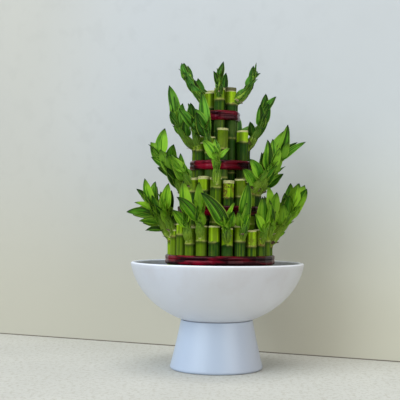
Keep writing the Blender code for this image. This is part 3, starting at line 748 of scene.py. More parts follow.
class Finish:
    """One material, built node by node on its Principled shader."""

    def __init__(self, name, **constants):
        self.material = bpy.data.materials.new(name)
        self.material.use_nodes = True
        self.tree = self.material.node_tree
        self.shader = self.tree.nodes["Principled BSDF"]
        for word, value in constants.items():
            socket = word.replace("_", " ").title().replace("Ior", "IOR")
            self.shader.inputs[socket].default_value = value

    def add(self, kind, out=0, inputs=(), **settings):
        """Adds a node with its inputs, each a value or another node's output, and gives one output."""
        node = self.tree.nodes.new("ShaderNode" + kind)
        for name, value in settings.items():
            setattr(node, name, value)
        for place, value in dict(inputs).items():
            self.feed(node.inputs[place], value)
        return node.outputs[out]

    def feed(self, socket, value):
        if isinstance(value, bpy.types.NodeSocket):
            self.tree.links.new(value, socket)
        else:
            socket.default_value = value

    def fact(self, name):
        """A number that the piece's points carry."""
        return self.add("Attribute", 2, attribute_name=name)

    def place(self, x=1, y=1, z=1):
        """The piece's own coordinates, stretched along each axis."""
        own = self.add("TexCoord", 3)
        return self.add("Mapping", 0, {"Vector": own, "Scale": (x, y, z)})

    def axis(self, number):
        """One of the piece's own coordinates: 0 for X, 2 for Z."""
        return self.add("SeparateXYZ", number, {0: self.place()})

    def noise(self, vector, scale=1.0, detail=2.0, roughness=0.5):
        return self.add(
            "TexNoise", 0,
            {"Vector": vector, "Scale": scale, "Detail": detail, "Roughness": roughness},
        )

    def calc(self, operation, a, b=0.0):
        return self.add("Math", 0, {0: a, 1: b}, operation=operation)

    def plus(self, a, b):
        return self.calc("ADD", a, b)

    def minus(self, a, b):
        return self.calc("SUBTRACT", a, b)

    def times(self, a, b):
        return self.calc("MULTIPLY", a, b)

    def between(self, value, low, high):
        """0 where value is at low, 1 where it is at high, with a soft start and end."""
        return self.add(
            "MapRange", 0, {"Value": value, "From Min": low, "From Max": high},
            interpolation_type="SMOOTHSTEP",
        )

    def mix(self, share, a, b, blend="MIX"):
        a, b = ((*c, 1) if isinstance(c, tuple) and len(c) == 3 else c for c in (a, b))
        return self.add("Mix", 2, {0: share, 6: a, 7: b}, data_type="RGBA", blend_type=blend)

    def bump(self, height, distance, strength=1.0):
        return self.add("Bump", 0, {"Height": height, "Distance": distance, "Strength": strength})

    def done(self, colour=None, roughness=None, normal=None):
        for socket, value in (("Base Color", colour), ("Roughness", roughness), ("Normal", normal)):
            if value is not None:
                self.feed(self.shader.inputs[socket], value)
        return self.material


def shade(colour, factor):
    return tuple(min(1.0, channel * factor) for channel in colour)


def tinted(colour, tint):
    return tuple(channel * part for channel, part in zip(colour, tint))


def glaze_finish(name, glaze, roughness, left, right):
    """Satin white glaze with an orange-peel surface and faint clouds, painted lighter towards the bottom
    as painted light, and with a painted highlight on the lip.

    The pot's left side is painted lighter and bluer and its right side darker: painted light and painted
    shade.
    """
    made = Finish(name, coat_weight=0.25, coat_roughness=0.25, ior=1.5)
    clouds = made.noise(made.place(), 14, 3)
    mottle = made.noise(made.place(1, 1, 0.8), 38, 4, 0.6)
    fine = made.noise(made.place(), 700, 2)
    side, height = made.axis(0), made.axis(2)
    tone = made.mix(made.between(clouds, 0.3, 0.7), shade(glaze, 0.955), glaze)
    patches = made.times(made.between(mottle, 0.46, 0.66), 0.7)
    tone = made.mix(patches, tone, GLAZE_PATCH, "MULTIPLY")
    # Painted light: the glaze is painted lighter down the bowl and on the foot, as if lit from the
    # floor.
    tone = made.mix(made.between(height, RIM_Z - 12 * MM, FOOT_TOP_Z), tone, shade(glaze, 1.2))
    # Painted highlight along the lip.
    lip = made.between(height, RIM_Z - 1.6 * MM, RIM_Z - 0.5 * MM)
    tone = made.mix(lip, tone, shade(glaze, 1.4))
    # Painted light on the left side, painted shade on the right.
    tone = made.mix(made.between(side, 0.0, -45 * MM), tone, left, "MULTIPLY")
    tone = made.mix(made.between(side, 0.0, 45 * MM), tone, right, "MULTIPLY")
    rough = made.plus(roughness - 0.05, made.times(clouds, 0.1))
    return made.done(tone, rough, made.bump(fine, 0.00003, 0.5))


def pebble_finish(settings):
    """Dark river stone: a tone for each pebble, pale grains and a damp sheen."""
    dark, pale = tuple(settings.dark), tuple(settings.pale)
    made = Finish("dark river pebble", specular_ior_level=0.5)
    grains = made.noise(made.place(), 1500, 4, 0.7)
    bands = made.noise(made.place(1, 1, 3), 160, 3)
    tone = made.mix(made.times(made.fact("tone"), 0.75), dark, pale)
    tone = made.mix(made.between(bands, 0.52, 0.68), tone, shade(pale, 0.8))
    tone = made.mix(made.between(grains, 0.6, 0.72), tone, shade(pale, 1.6))
    rough = made.plus(0.38, made.times(grains, 0.3))
    return made.done(tone, rough, made.bump(grains, 0.0001, 0.6))


def ribbon_finish(settings):
    """Glossy red wrapping with drawn lines round it, darker folds that are painted shade, and painted
    light that makes its left side lighter and its right side darker.
    """
    red, dark = tuple(settings.red), tuple(settings.dark)
    made = Finish(
        "glossy red wrapping", specular_ior_level=0.3, specular_tint=(0.9, 0.25, 0.3, 1),
        coat_weight=0.08, coat_roughness=0.06,
    )
    drawn = made.noise(made.place(25, 25, 2600), 1, 2)
    folds = made.noise(made.place(1, 1, 4), 42, 3)
    # The folds are painted dark red as painted shade.
    tone = made.mix(made.between(folds, 0.42, 0.60), dark, red)
    tone = made.mix(made.between(drawn, 0.55, 0.75), tone, shade(dark, 0.6))
    # Painted light: the tie's left side is painted lighter and its right side darker.
    lit = made.mix(made.between(made.axis(0), 18 * MM, -12 * MM), RIBBON_SHADED_RIGHT, RIBBON_LIT_LEFT)
    tone = made.mix(1.0, tone, lit, "MULTIPLY")
    rough = made.plus(0.16, made.times(drawn, 0.2))
    relief = made.plus(drawn, made.times(folds, 2.0))
    return made.done(tone, rough, made.bump(relief, 0.00018, 0.55))


def cane_finish(settings):
    """Green rind: deep and striped below the top node, yellow-green above it, dried at the cut."""
    old, olive = tuple(settings.old_rind), tuple(settings.olive_rind)
    young, pale = tuple(settings.young_rind), tuple(settings.dry_rim)
    scar = tuple(settings.scar)
    made = Finish("cane rind", specular_ior_level=0.07, coat_weight=0.01, coat_roughness=0.2)
    tone, ripe, dried = made.fact("tone"), made.fact("ripe"), made.fact("dry")
    rise, cut, node = made.fact("rise"), made.fact("to_cut"), made.fact("ring")
    fibres = made.noise(made.place(1500, 1500, 22), 1, 2)
    stripes = made.noise(made.place(430, 430, 9), 1, 3)
    bands = made.noise(made.place(190, 190, 14), 1, 2)
    patches = made.noise(made.place(), 120, 3)
    specks = made.noise(made.place(1, 1, 0.7), 900, 3, 0.7)

    # Below the top node: dark rind with olive stripes, the more the riper it is.
    shift = made.plus(stripes, made.times(made.minus(tone, 0.5), 0.75))
    lower = made.mix(made.between(shift, 0.34, 0.66), old, olive)
    lower = made.mix(made.between(shift, 0.7, 0.95), lower, shade(young, 0.8))
    lower = made.mix(made.between(shift, 1.05, 1.45), lower, shade(young, 1.3))

    # Above it: yellow-green in bands and stripes, from green to bright; the pale stripes are partly
    # painted highlights.
    upper = made.mix(made.between(bands, 0.34, 0.62), shade(young, 0.45), young)
    pale_stripes_and_highlights = made.times(made.between(stripes, 0.5, 0.66), 0.8)
    upper = made.mix(pale_stripes_and_highlights, upper, shade(young, 1.9))
    upper = made.mix(made.between(patches, 0.56, 0.7), upper, olive)
    green = made.times(made.between(ripe, 0.8, 0.1), 0.75)
    upper = made.mix(green, upper, shade(young, 0.3))
    bright = made.times(made.between(ripe, 1.0, 1.6), 0.6)
    upper = made.mix(bright, upper, shade(young, 1.8))

    # The two meet in a ragged edge, with a dark line under the pale ring of the node.
    edge = made.plus(rise, made.times(made.minus(bands, 0.5), 5.0))
    colour = made.mix(made.between(edge, -0.2, 0.9), lower, upper)
    dark_line = made.times(made.between(rise, -5.5, -0.6), made.between(rise, 0.0, -0.5))
    colour = made.mix(made.times(dark_line, 0.75), colour, shade(old, 0.4))
    ring = made.times(node, made.between(patches, 0.34, 0.56))
    colour = made.mix(made.times(ring, 0.8), colour, tuple(settings.node_ring))
    pale_fibres = made.times(made.between(fibres, 0.6, 0.74), 0.3)
    colour = made.mix(pale_fibres, colour, shade(young, 1.6))

    # Rusty specks and scars, and painted shade on the rind where it turns to the next cane.
    worn = made.plus(specks, made.times(node, 0.08))
    worn = made.plus(worn, made.times(made.fact("scarred"), 0.22))
    worn = made.times(made.between(worn, 0.66, 0.74), made.between(patches, 0.4, 0.52))
    rust = made.mix(made.between(fibres, 0.4, 0.62), shade(scar, 0.25), shade(scar, 2.2))
    colour = made.mix(worn, colour, rust)
    colour = made.mix(made.times(made.fact("tucked"), 0.65), colour, shade(old, 0.3))

    # The dried rind at the cut, with a pale edge below it.
    dry = made.minus(cut, dried)
    dry = made.plus(dry, made.times(made.minus(patches, 0.5), 1.6))
    rim = made.mix(made.between(specks, 0.5, 0.66), pale, shade(pale, 0.5))
    rim = made.mix(made.between(dried, 2.8, 4.2), rim, shade(pale, 0.26))
    rim = made.mix(made.between(made.calc("ABSOLUTE", dry), 0.7, 0.15), rim, shade(pale, 1.15))
    colour = made.mix(made.between(dry, 0.35, -0.1), colour, rim)
    rough = made.plus(0.34, made.times(fibres, 0.25))
    relief = made.plus(fibres, made.times(specks, 0.5))
    return made.done(colour, rough, made.bump(relief, 0.00012, 0.6))


def cut_finish(settings):
    """The cut face: pale pith with dark fibre ends and a dried edge."""
    pith = tuple(settings.dry_rim)
    made = Finish("cut cane pith")
    ends = made.add("TexVoronoi", 0, {"Vector": made.place(), "Scale": 1500.0})
    clouds = made.noise(made.place(), 300, 3)
    colour = made.mix(made.between(clouds, 0.35, 0.7), shade(pith, 0.95), shade(pith, 0.55))
    colour = made.mix(made.between(ends, 0.28, 0.12), colour, shade(pith, 0.3))
    colour = made.mix(made.between(made.fact("ring"), 0.2, 0.9), colour, shade(pith, 0.35))
    return made.done(colour, 0.75, made.bump(ends, 0.00015, 0.6))


def aged_green(green):
    """The deeper and bluer green that a leaf turns."""
    red, main, blue = green
    return red * 0.42, main * 0.72, blue + main * 0.05


def leaf_finish(settings):
    """Leaf skin: light and dark lines along it, one half painted lighter than the other as painted
    light, a pale edge that is partly a painted highlight, painted shade at the foot and underside, a
    dark tip.
    """
    deep, usual, fresh = tuple(settings.deep), tuple(settings.middle), tuple(settings.fresh)
    root, tip = tuple(settings.root), tuple(settings.tip)
    made = Finish(
        "leaf skin", specular_ior_level=0.08, coat_weight=0.08, coat_roughness=0.12,
        subsurface_weight=0.08, subsurface_radius=(0.4, 1.0, 0.1), subsurface_scale=0.001,
    )
    tone, along, across = made.fact("tone"), made.fact("along"), made.fact("across")
    aside = made.calc("ABSOLUTE", across)

    # Lines along the blade, which each leaf has in other places.
    own = made.add("CombineXYZ", 0, {
        "X": made.times(across, 3.0), "Y": made.times(tone, 37.0), "Z": made.times(along, 1.3),
    })
    streaks = made.between(made.noise(own, 1.0, 2, 0.6), 0.36, 0.64)
    waver = made.noise(made.place(), 90, 2)
    line = made.plus(across, made.times(waver, 0.12))
    veins = made.calc("SINE", made.times(line, 34.0))
    clouds = made.noise(made.place(), 210, 3)

    # Deep, usual or fresh green, by the leaf and its lines; one half of it is painted lighter than the
    # other, as painted light.
    half = made.times(made.between(across, -0.12, 0.12), made.fact("lit"))
    body = made.plus(made.times(tone, 0.75), made.times(clouds, 0.2))
    body = made.plus(body, made.times(streaks, 0.36))
    body = made.plus(body, made.times(half, 0.5))
    aged = made.fact("aged")
    low, mid, high = (made.mix(aged, green, aged_green(green)) for green in (deep, usual, fresh))
    colour = made.mix(made.between(body, 0.26, 0.58), low, mid)
    colour = made.mix(made.between(body, 0.52, 0.98), colour, high)
    colour = made.mix(made.times(made.between(veins, 0.0, 1.0), 0.19), colour, shade(root, 1.1))

    # A pale midrib, an underside darkened as painted shade, pale edges that are partly painted
    # highlights, the foot with painted shade, and the dark point.
    midrib = made.between(aside, 0.12, 0.03)
    colour = made.mix(made.times(midrib, 0.25), colour, shade(fresh, 1.3))
    # Painted shade: the underside is painted darker.
    colour = made.mix(made.times(made.fact("under"), 0.38), colour, shade(deep, 1.5))
    # The pale edge is partly the leaf's own margin and partly a painted highlight.
    edge = made.between(aside, 0.84, 0.98)
    colour = made.mix(made.times(edge, 0.6), colour, root)
    foot = made.between(made.plus(along, made.times(clouds, 0.12)), 0.24, 0.05)
    # Painted shade darkens the foot of each blade against the stem; on low leaves the next line then
    # paints it in its own paler colour.
    colour = made.mix(made.times(foot, 0.5), colour, shade(deep, 1.2))
    colour = made.mix(made.times(foot, made.fact("low")), colour, shade(root, 0.75))
    point = made.plus(along, made.times(clouds, 0.06))
    colour = made.mix(made.times(made.between(point, 0.76, 0.95), 0.5), colour, shade(deep, 0.8))
    colour = made.mix(made.between(point, 0.94, 1.01), colour, tip)
    rough = made.plus(0.36, made.times(clouds, 0.16))
    relief = made.plus(veins, made.times(streaks, 3.0))
    return made.done(colour, rough, made.bump(relief, 0.00014, 0.6))


def stem_finish(settings):
    """Young stem: yellow-green with lines along it and pale rings where old leaves sat."""
    fresh, root, pale = tuple(settings.fresh), tuple(settings.root), tuple(settings.husk_pale)
    made = Finish("young stem skin", specular_ior_level=0.15, coat_weight=0.03, coat_roughness=0.3)
    fibres = made.noise(made.place(), 900, 3)
    clouds = made.noise(made.place(), 180, 3)
    along = made.fact("along")
    colour = made.mix(made.between(clouds, 0.36, 0.62), shade(fresh, 0.3), shade(fresh, 0.7))
    colour = made.mix(made.between(along, 0.6, 0.15), colour, shade(root, 0.9))
    colour = made.mix(made.between(fibres, 0.5, 0.7), colour, shade(fresh, 0.45))
    ring = made.times(made.fact("ring"), made.between(fibres, 0.35, 0.55))
    colour = made.mix(made.times(ring, 0.35), colour, pale)
    collar = made.times(made.fact("collar"), made.between(clouds, 0.3, 0.5))
    colour = made.mix(collar, colour, pale)
    return made.done(colour, 0.45, made.bump(fibres, 0.0001, 0.5))


def husk_finish(settings):
    """Dry scale: thin brown paper with pale patches and dark lines."""
    made = Finish("dry husk")
    dark, pale = tuple(settings.husk_dark), tuple(settings.husk_pale)
    lines = made.noise(made.place(), 1100, 3)
    patches = made.noise(made.place(), 260, 2)
    colour = made.mix(made.between(patches, 0.4, 0.62), dark, pale)
    colour = made.mix(made.between(lines, 0.5, 0.7), colour, shade(dark, 0.6))
    return made.done(colour, 0.8, made.bump(lines, 0.0002, 0.6))


def stage_finish(name, colour, scale, streak):
    """Faint streaks and grain. Gives the finish so far, its colour and its relief."""
    made = Finish(name, specular_ior_level=0.2)
    streaks = made.noise(made.place(1, 1, streak), scale, 4)
    grain = made.noise(made.place(), scale * 14, 3)
    tone = made.mix(made.between(streaks, 0.3, 0.72), shade(colour, 0.95), shade(colour, 1.02))
    tone = made.mix(made.times(made.between(grain, 0.5, 0.7), 0.6), tone, shade(colour, 0.94))
    return made, tone, made.bump(grain, 0.0004, 0.25)


def floor_finish(colour):
    """Pale stone with fine worn pits."""
    made, tone, relief = stage_finish("pale stone floor", colour, 9, 1)
    pits = made.noise(made.place(1, 0.6, 1), 240, 5, 0.75)
    worn = made.times(made.between(pits, 0.48, 0.62), 0.55)
    return made.done(made.mix(worn, tone, tinted(colour, FLOOR_PIT)), STAGE_ROUGHNESS, relief)


def wall_finish(colour):
    """Pale wall, warmer to the left and towards the floor, and painted lighter low down at the right to
    thin the shadow that falls there; unseen from behind.
    """
    made, tone, relief = stage_finish("pale painted wall", colour, 3.5, 0.35)
    side, height = made.axis(0), made.axis(2)
    tone = made.mix(made.between(side, -0.08, -0.28), tone, WALL_LEFT, "MULTIPLY")
    tone = made.mix(made.between(height, 0.3, 0.02), tone, tinted(colour, WALL_FOOT))
    # Painted light: low down at the right the wall is painted lighter, to thin the shadow that falls
    # there.
    low_right_light = made.times(made.between(side, 0.0, 0.14), made.between(height, 0.5, 0.15))
    tone = made.mix(low_right_light, tone, WALL_RIGHT_LIGHT, "MULTIPLY")
    # The dark joint line at the foot of the wall, partly a painted shadow in the corner.
    tone = made.mix(made.between(height, 0.0016, 0.0008), tone, WALL_JOINT_AND_SHADE)
    finish = made.done(tone, STAGE_ROUGHNESS, relief)
    behind = made.add("NewGeometry", 6)
    clear = made.add("BsdfTransparent")
    out = made.tree.nodes["Material Output"].inputs["Surface"]
    seen = made.shader.outputs["BSDF"]
    made.feed(out, made.add("MixShader", 0, {0: behind, 1: seen, 2: clear}))
    return finish


@contextmanager
def editing(piece):
    """Edit mode on this piece alone, with all of it picked."""
    bpy.ops.object.select_all(action="DESELECT")
    piece.select_set(True)
    bpy.context.view_layer.objects.active = piece
    bpy.ops.object.mode_set(mode="EDIT")
    bpy.ops.mesh.select_all(action="SELECT")
    yield
    bpy.ops.object.mode_set(mode="OBJECT")


def named(name):
    """The primitive just added."""
    piece = bpy.context.object
    piece.name = piece.data.name = name
    return piece


def apply_all(piece):
    bpy.context.view_layer.objects.active = piece
    for modifier in list(piece.modifiers):
        bpy.ops.object.modifier_apply(modifier=modifier.name)


def tube_blank(name, sides, stations):
    """A closed tube to shape: a loop of radius 1 at each whole height from 0."""
    bpy.ops.object.select_all(action="DESELECT")
    bpy.ops.mesh.primitive_circle_add(vertices=sides, radius=1, fill_type="NGON")
    blank = named(name)
    with editing(blank):
        for _ in range(stations):
            bpy.ops.mesh.extrude_region_move(TRANSFORM_OT_translate={"value": (0, 0, 1)})
        bpy.ops.mesh.merge(type="CENTER")
        bpy.ops.mesh.select_all(action="SELECT")
        bpy.ops.mesh.normals_make_consistent(inside=False)
    return blank


def leaf_blank(across, along):
    """A flat blade to shape, from -1 to 1 across and along, in two skins 2 apart."""
    bpy.ops.object.select_all(action="DESELECT")
    bpy.ops.mesh.primitive_grid_add(x_subdivisions=across, y_subdivisions=along, size=2)
    blank = named("leaf blank")
    skins = blank.modifiers.new("two skins", "SOLIDIFY")
    skins.thickness, skins.offset = 2, 0
    apply_all(blank)
    return blank


def pebble_blank():
    bpy.ops.object.select_all(action="DESELECT")
    bpy.ops.mesh.primitive_uv_sphere_add(segments=8, ring_count=6, radius=1)
    return named("pebble blank")


def ring_blank(around, across):
    bpy.ops.object.select_all(action="DESELECT")
    bpy.ops.mesh.primitive_torus_add(
        major_segments=around, minor_segments=across, major_radius=2, minor_radius=1
    )
    return named("ring blank")


def shaped(blank, name, place, finishes, **facts):
    """A copy of a blank with each point moved to its place.

    A fact is a number that the material reads at each point: one for all, or a function of the
    blank's point.
    """
    piece = blank.copy()
    piece.data = blank.data.copy()
    piece.name = piece.data.name = name
    bpy.context.scene.collection.objects.link(piece)
    mesh = piece.data
    spots = [vertex.co.copy() for vertex in mesh.vertices]
    for fact, value in facts.items():
        layer = mesh.attributes.new(fact, "FLOAT", "POINT")
        values = [value(spot) if callable(value) else value for spot in spots]
        layer.data.foreach_set("value", values)
    for vertex, spot in zip(mesh.vertices, spots):
        vertex.co = place(spot)
    mesh.materials.clear()
    for finish in finishes:
        mesh.materials.append(finish)
    return piece


def joined(name, pieces, sharp=50):
    """All the pieces as one object, smooth but for its sharp edges."""
    bpy.ops.object.select_all(action="DESELECT")
    for piece in pieces:
        piece.select_set(True)
    bpy.context.view_layer.objects.active = pieces[0]
    if len(pieces) > 1:
        bpy.ops.object.join()
    whole = named(name)
    bpy.ops.object.shade_smooth_by_angle(angle=math.radians(sharp))
    return whole


def stands_for(piece, slot, *nodes):
    """The piece rides on the part's only body and is shown in place of these solids."""
    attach(piece, "root")
    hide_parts(*nodes)


def thrown(name, outline, finish, steps=160, sharp=50):
    """A turned piece: its outline is drawn from one vertex, point by point, and spun about Z."""
    bpy.ops.object.select_all(action="DESELECT")
    bpy.ops.mesh.primitive_plane_add(size=MM)
    piece = named(name)
    with editing(piece):
        bpy.ops.mesh.merge(type="CENTER")
        bpy.ops.transform.translate(value=(outline[0][0], 0, outline[0][1]))
        for (r, z), (next_r, next_z) in zip(outline, outline[1:]):
            step = (next_r - r, 0, next_z - z)
            bpy.ops.mesh.extrude_vertices_move(TRANSFORM_OT_translate={"value": step})
        bpy.ops.mesh.select_all(action="SELECT")
        bpy.ops.mesh.spin(steps=steps, angle=math.tau, center=(0, 0, 0), axis=(0, 0, 1))
        bpy.ops.mesh.select_all(action="SELECT")
        bpy.ops.mesh.remove_doubles(threshold=0.00001)
        bpy.ops.mesh.normals_make_consistent(inside=False)
    piece.data.materials.append(finish)
    bpy.ops.object.shade_smooth_by_angle(angle=math.radians(sharp))
    return piece


def corner(centre, radius, first, last, steps):
    """Points of a rounded corner, as (radius, height), from one angle to another in degrees."""
    points = []
    for i in range(steps + 1):
        turn = math.radians(first + (last - first) * i / steps)
        points.append((centre[0] + radius * math.cos(turn), centre[1] + radius * math.sin(turn)))
    return points


def bowl_side(inset, low, high, steps):
    """Points up the bowl's ellipse, moved in by inset, between two heights."""
    half_width, half_depth = BOWL_HALF_WIDTH - inset, BOWL_HALF_DEPTH - inset
    first = math.asin((BOWL_CENTRE_Z - low) / half_depth)
    last = math.asin((BOWL_CENTRE_Z - high) / half_depth)
    points = []
    for i in range(steps + 1):
        turn = first + (last - first) * i / steps
        points.append((half_width * math.cos(turn), BOWL_CENTRE_Z - half_depth * math.sin(turn)))
    return points


class BAMBOO_OT_bowl(bpy.types.Operator):
    """Throw the white bowl with its rounded lip"""

    bl_idname = "bamboo.bowl"
    bl_label = "Bowl"

    def execute(self, context):
        bottom = BOWL_CENTRE_Z - BOWL_HALF_DEPTH
        outside = bowl_side(0, bottom, RIM_Z - LIP_DEPTH, 30)
        inside = bowl_side(BOWL_WALL, bottom + BOWL_WALL, RIM_Z - LIP_DEPTH, 24)
        lip = (outside[-1][0] + inside[-1][0]) / 2
        half_lip = (outside[-1][0] - inside[-1][0]) / 2
        rim = corner((lip, RIM_Z - half_lip), half_lip, 0, 180, 12)[1:-1]
        outline = [(0, bottom), *outside[1:], *rim, *reversed(inside[1:]), (0, inside[0][1])]
        settings = context.scene.bamboo_pot
        finish = glaze_finish(
            "satin bowl glaze", tuple(settings.glaze), settings.roughness, *BOWL_LIGHT_SIDES
        )
        piece = thrown("glazed_bowl", outline, finish, sharp=70)
        stands_for(piece, "glaze", "pot_bowl")
        return {"FINISHED"}


class BAMBOO_OT_foot(bpy.types.Operator):
    """Throw the hollow cone that the bowl stands on"""

    bl_idname = "bamboo.foot"
    bl_label = "Foot"

    def execute(self, context):
        seat = bowl_side(-GAP, FOOT_TOP_Z - SEAT_DEPTH, FOOT_TOP_Z, 3)
        lean = math.degrees(math.atan2(FOOT_BASE_R - FOOT_TOP_R, FOOT_TOP_Z))
        inner = FOOT_BASE_R - FOOT_WALL
        outline = [(inner + 1 * MM, 0)]
        outline += corner((FOOT_BASE_R - FOOT_EDGE, FOOT_EDGE), FOOT_EDGE, -90, lean, 8)
        low_r, low_z = outline[-1]
        high_r, high_z = FOOT_TOP_R, FOOT_TOP_Z - 0.8 * MM
        steps = 16
        for i in range(1, steps):
            share = i / steps
            hollow = FOOT_WAIST * 4 * share * (1 - share)
            outline.append(
                (low_r + (high_r - low_r) * share - hollow, low_z + (high_z - low_z) * share)
            )
        outline += corner(
            (FOOT_TOP_R - FOOT_TOP_EDGE, high_z + 0.2 * MM), FOOT_TOP_EDGE, 0, 90, 4
        )
        outline += list(reversed(seat))
        outline += [(seat[0][0] - 1 * MM, seat[0][1] - 1.5 * MM)]
        outline += [(inner, 1 * MM)]
        outline.append(outline[0])
        settings = context.scene.bamboo_pot
        finish = glaze_finish(
            "satin foot glaze", tuple(settings.foot_glaze_and_shade), settings.roughness, *FOOT_LIGHT_SIDES
        )
        piece = thrown("glazed_foot", outline, finish, sharp=50)
        stands_for(piece, "glaze", "pot_foot")
        return {"FINISHED"}


class BAMBOO_OT_pebbles(bpy.types.Operator):
    """Fill the bowl round the canes with loose dark pebbles on a bed"""

    bl_idname = "bamboo.pebbles"
    bl_label = "Pebbles"

    def execute(self, context):
        settings = context.scene.bamboo_pebbles
        finish = pebble_finish(settings)
        rng = random.Random(SEED + 2)
        wall = BOWL_WALL + PEBBLE_CLEAR
        bed_z = PEBBLE_TOP_Z - BED_DEPTH
        bed_side = bowl_side(wall, BOWL_CENTRE_Z - BOWL_HALF_DEPTH + wall, bed_z, 10)
        bed = thrown("bed", [(0, bed_side[0][1]), *bed_side[1:], (0, bed_z)], finish, steps=96)
        blank = pebble_blank()
        edge = bowl_side(wall, bed_z, PEBBLE_TOP_Z, 1)[-1][0]
        half = settings.size / 2
        pebbles = [bed]
        for layer in range(3):
            ring = HOLE_R - half - layer * half * 0.6
            while ring < edge - half * 0.6:
                count = int(math.tau * ring / (settings.size * 0.98))
                first = rng.uniform(0, math.tau)
                for i in range(count):
                    turn = first + math.tau * i / count + rng.uniform(-0.02, 0.02)
                    reach = ring + rng.uniform(-0.9, 0.9) * MM
                    height = bed_z + (0.3 + 1.5 * layer + rng.uniform(-0.4, 0.7)) * MM
                    pebbles.append(self.pebble(blank, reach, turn, height, half, rng, finish))
                ring += settings.size * 0.92
        piece = joined("river_pebbles", pebbles, 80)
        bpy.data.objects.remove(blank)
        stands_for(piece, "pebbles", "pebbles")
        return {"FINISHED"}

    @staticmethod
    def pebble(blank, reach, turn, height, half, rng, finish):
        """One stone, flat, dented and a little tilted."""
        size = Vector((rng.uniform(0.85, 1.15), rng.uniform(0.75, 1.0), rng.uniform(0.5, 0.72))) * half
        spin = Euler((rng.uniform(-0.35, 0.35), rng.uniform(-0.35, 0.35), rng.uniform(0, 6.3)))
        spin = spin.to_matrix()
        middle = Vector((reach * math.sin(turn), -reach * math.cos(turn), height))
        mark = rng.uniform(0, 90)

        def place(spot):
            dent = 1 + 0.16 * noise.noise(spot * 1.1 + Vector((mark, 0, 0)))
            return middle + spin @ Vector((spot.x * size.x, spot.y * size.y, spot.z * size.z)) * dent

        return shaped(blank, "pebble", place, [finish], tone=rng.random() ** 1.6)


def tie_path(canes, gap, steps):
    """A line pulled tight round the canes: an arc on each, and straight from one to the next."""
    ordered = sorted(canes, key=lambda cane: cane.direction)
    reach = gap + max(cane.radius for cane in canes)
    squares = []
    for cane, following in zip(ordered, ordered[1:] + ordered[:1]):
        along = following.centre - cane.centre
        squares.append(math.atan2(-along.x, along.y))
    path = []
    for number, cane in enumerate(ordered):
        first, last = squares[number - 1], squares[number]
        bend = (last - first) % math.tau / (steps - 1)
        for i in range(steps):
            turn = first + bend * i
            out = Vector((math.cos(turn), math.sin(turn), 0)) / math.cos(bend / 2)
            path.append((cane.centre + out * reach, out))
    return path


class BAMBOO_OT_ties(bpy.types.Operator):
    """Wind a glossy red tie round each tier, as a flat band with two ridges"""

    bl_idname = "bamboo.ties"
    bl_label = "Red ties"

    def execute(self, context):
        settings = context.scene.bamboo_ties
        finish = ribbon_finish(settings)
        canes = place_canes(random.Random(SEED))
        for tier in TIERS:
            around = [cane for cane in canes.values() if cane.tier is tier]
            steps = 5 if len(around) > 8 else 9
            path = tie_path(around, GAP, steps)
            blank = ring_blank(len(path), 40)
            piece = shaped(blank, "ribbon_" + tier.name, self.place(tier, path), [finish])
            bpy.data.objects.remove(blank)
            stands_for(joined(piece.name, [piece], 70), "ribbon", "tie_" + tier.name)
        return {"FINISHED"}

    @staticmethod
    def place(tier, path):
        """Two round ridges outside and a flat back, swept along the path."""

        def place(spot):
            number = round(math.atan2(spot.y, spot.x) / math.tau * len(path)) % len(path)
            middle, out = path[number]
            outward = math.hypot(spot.x, spot.y) - 2
            turn = math.atan2(spot.z, outward)
            rise = math.sin(turn)
            depth = 0.0
            if outward > 0:
                ridge = 1 - abs(2 * abs(rise) - 1) ** 2.4
                band = TIE_BAND * (1 - rise**8)
                depth = TIE_THICK * (band + TIE_RIDGE * max(0, ridge) ** 0.8)
            wander = TIE_WANDER * noise.noise(Vector((middle.x * 60, middle.y * 60, tier.tie * 40)))
            reach = TIE_HALF + (TIE_SAG if rise < 0 else -TIE_SLIP)
            return middle + out * depth + UP * (tier.tie + rise * reach + wander)

        return place


def smooth(value, low=0.0, high=1.0):
    share = min(1.0, max(0.0, (value - low) / (high - low)))
    return share * share * (3 - 2 * share)


def cane_stations(cane, rng):
    """(height, radius, share of ring colour) of each loop of a cane, from its foot to its cut."""
    spacing = min(rng.uniform(29, 38) * MM, (cane.node - CANE_FOOT_Z - 9 * MM) / 2.3)
    stations = [(CANE_FOOT_Z, cane.radius, 0)]
    for below in (2, 1, 0):
        node = cane.node - below * spacing
        for rise, out, ring in NODE_SHAPE:
            stations.append((node + rise * MM, cane.radius + out * MM, ring))
    for drop, inset in CUT_SHAPE:
        edge = smooth(inset, 1.6, 0.4) if inset > 0 else 0
        stations.append((cane.top - drop * MM, cane.radius - inset * MM, edge))
    stations.append((cane.top - CUT_DISH, 0, 0))
    return stations


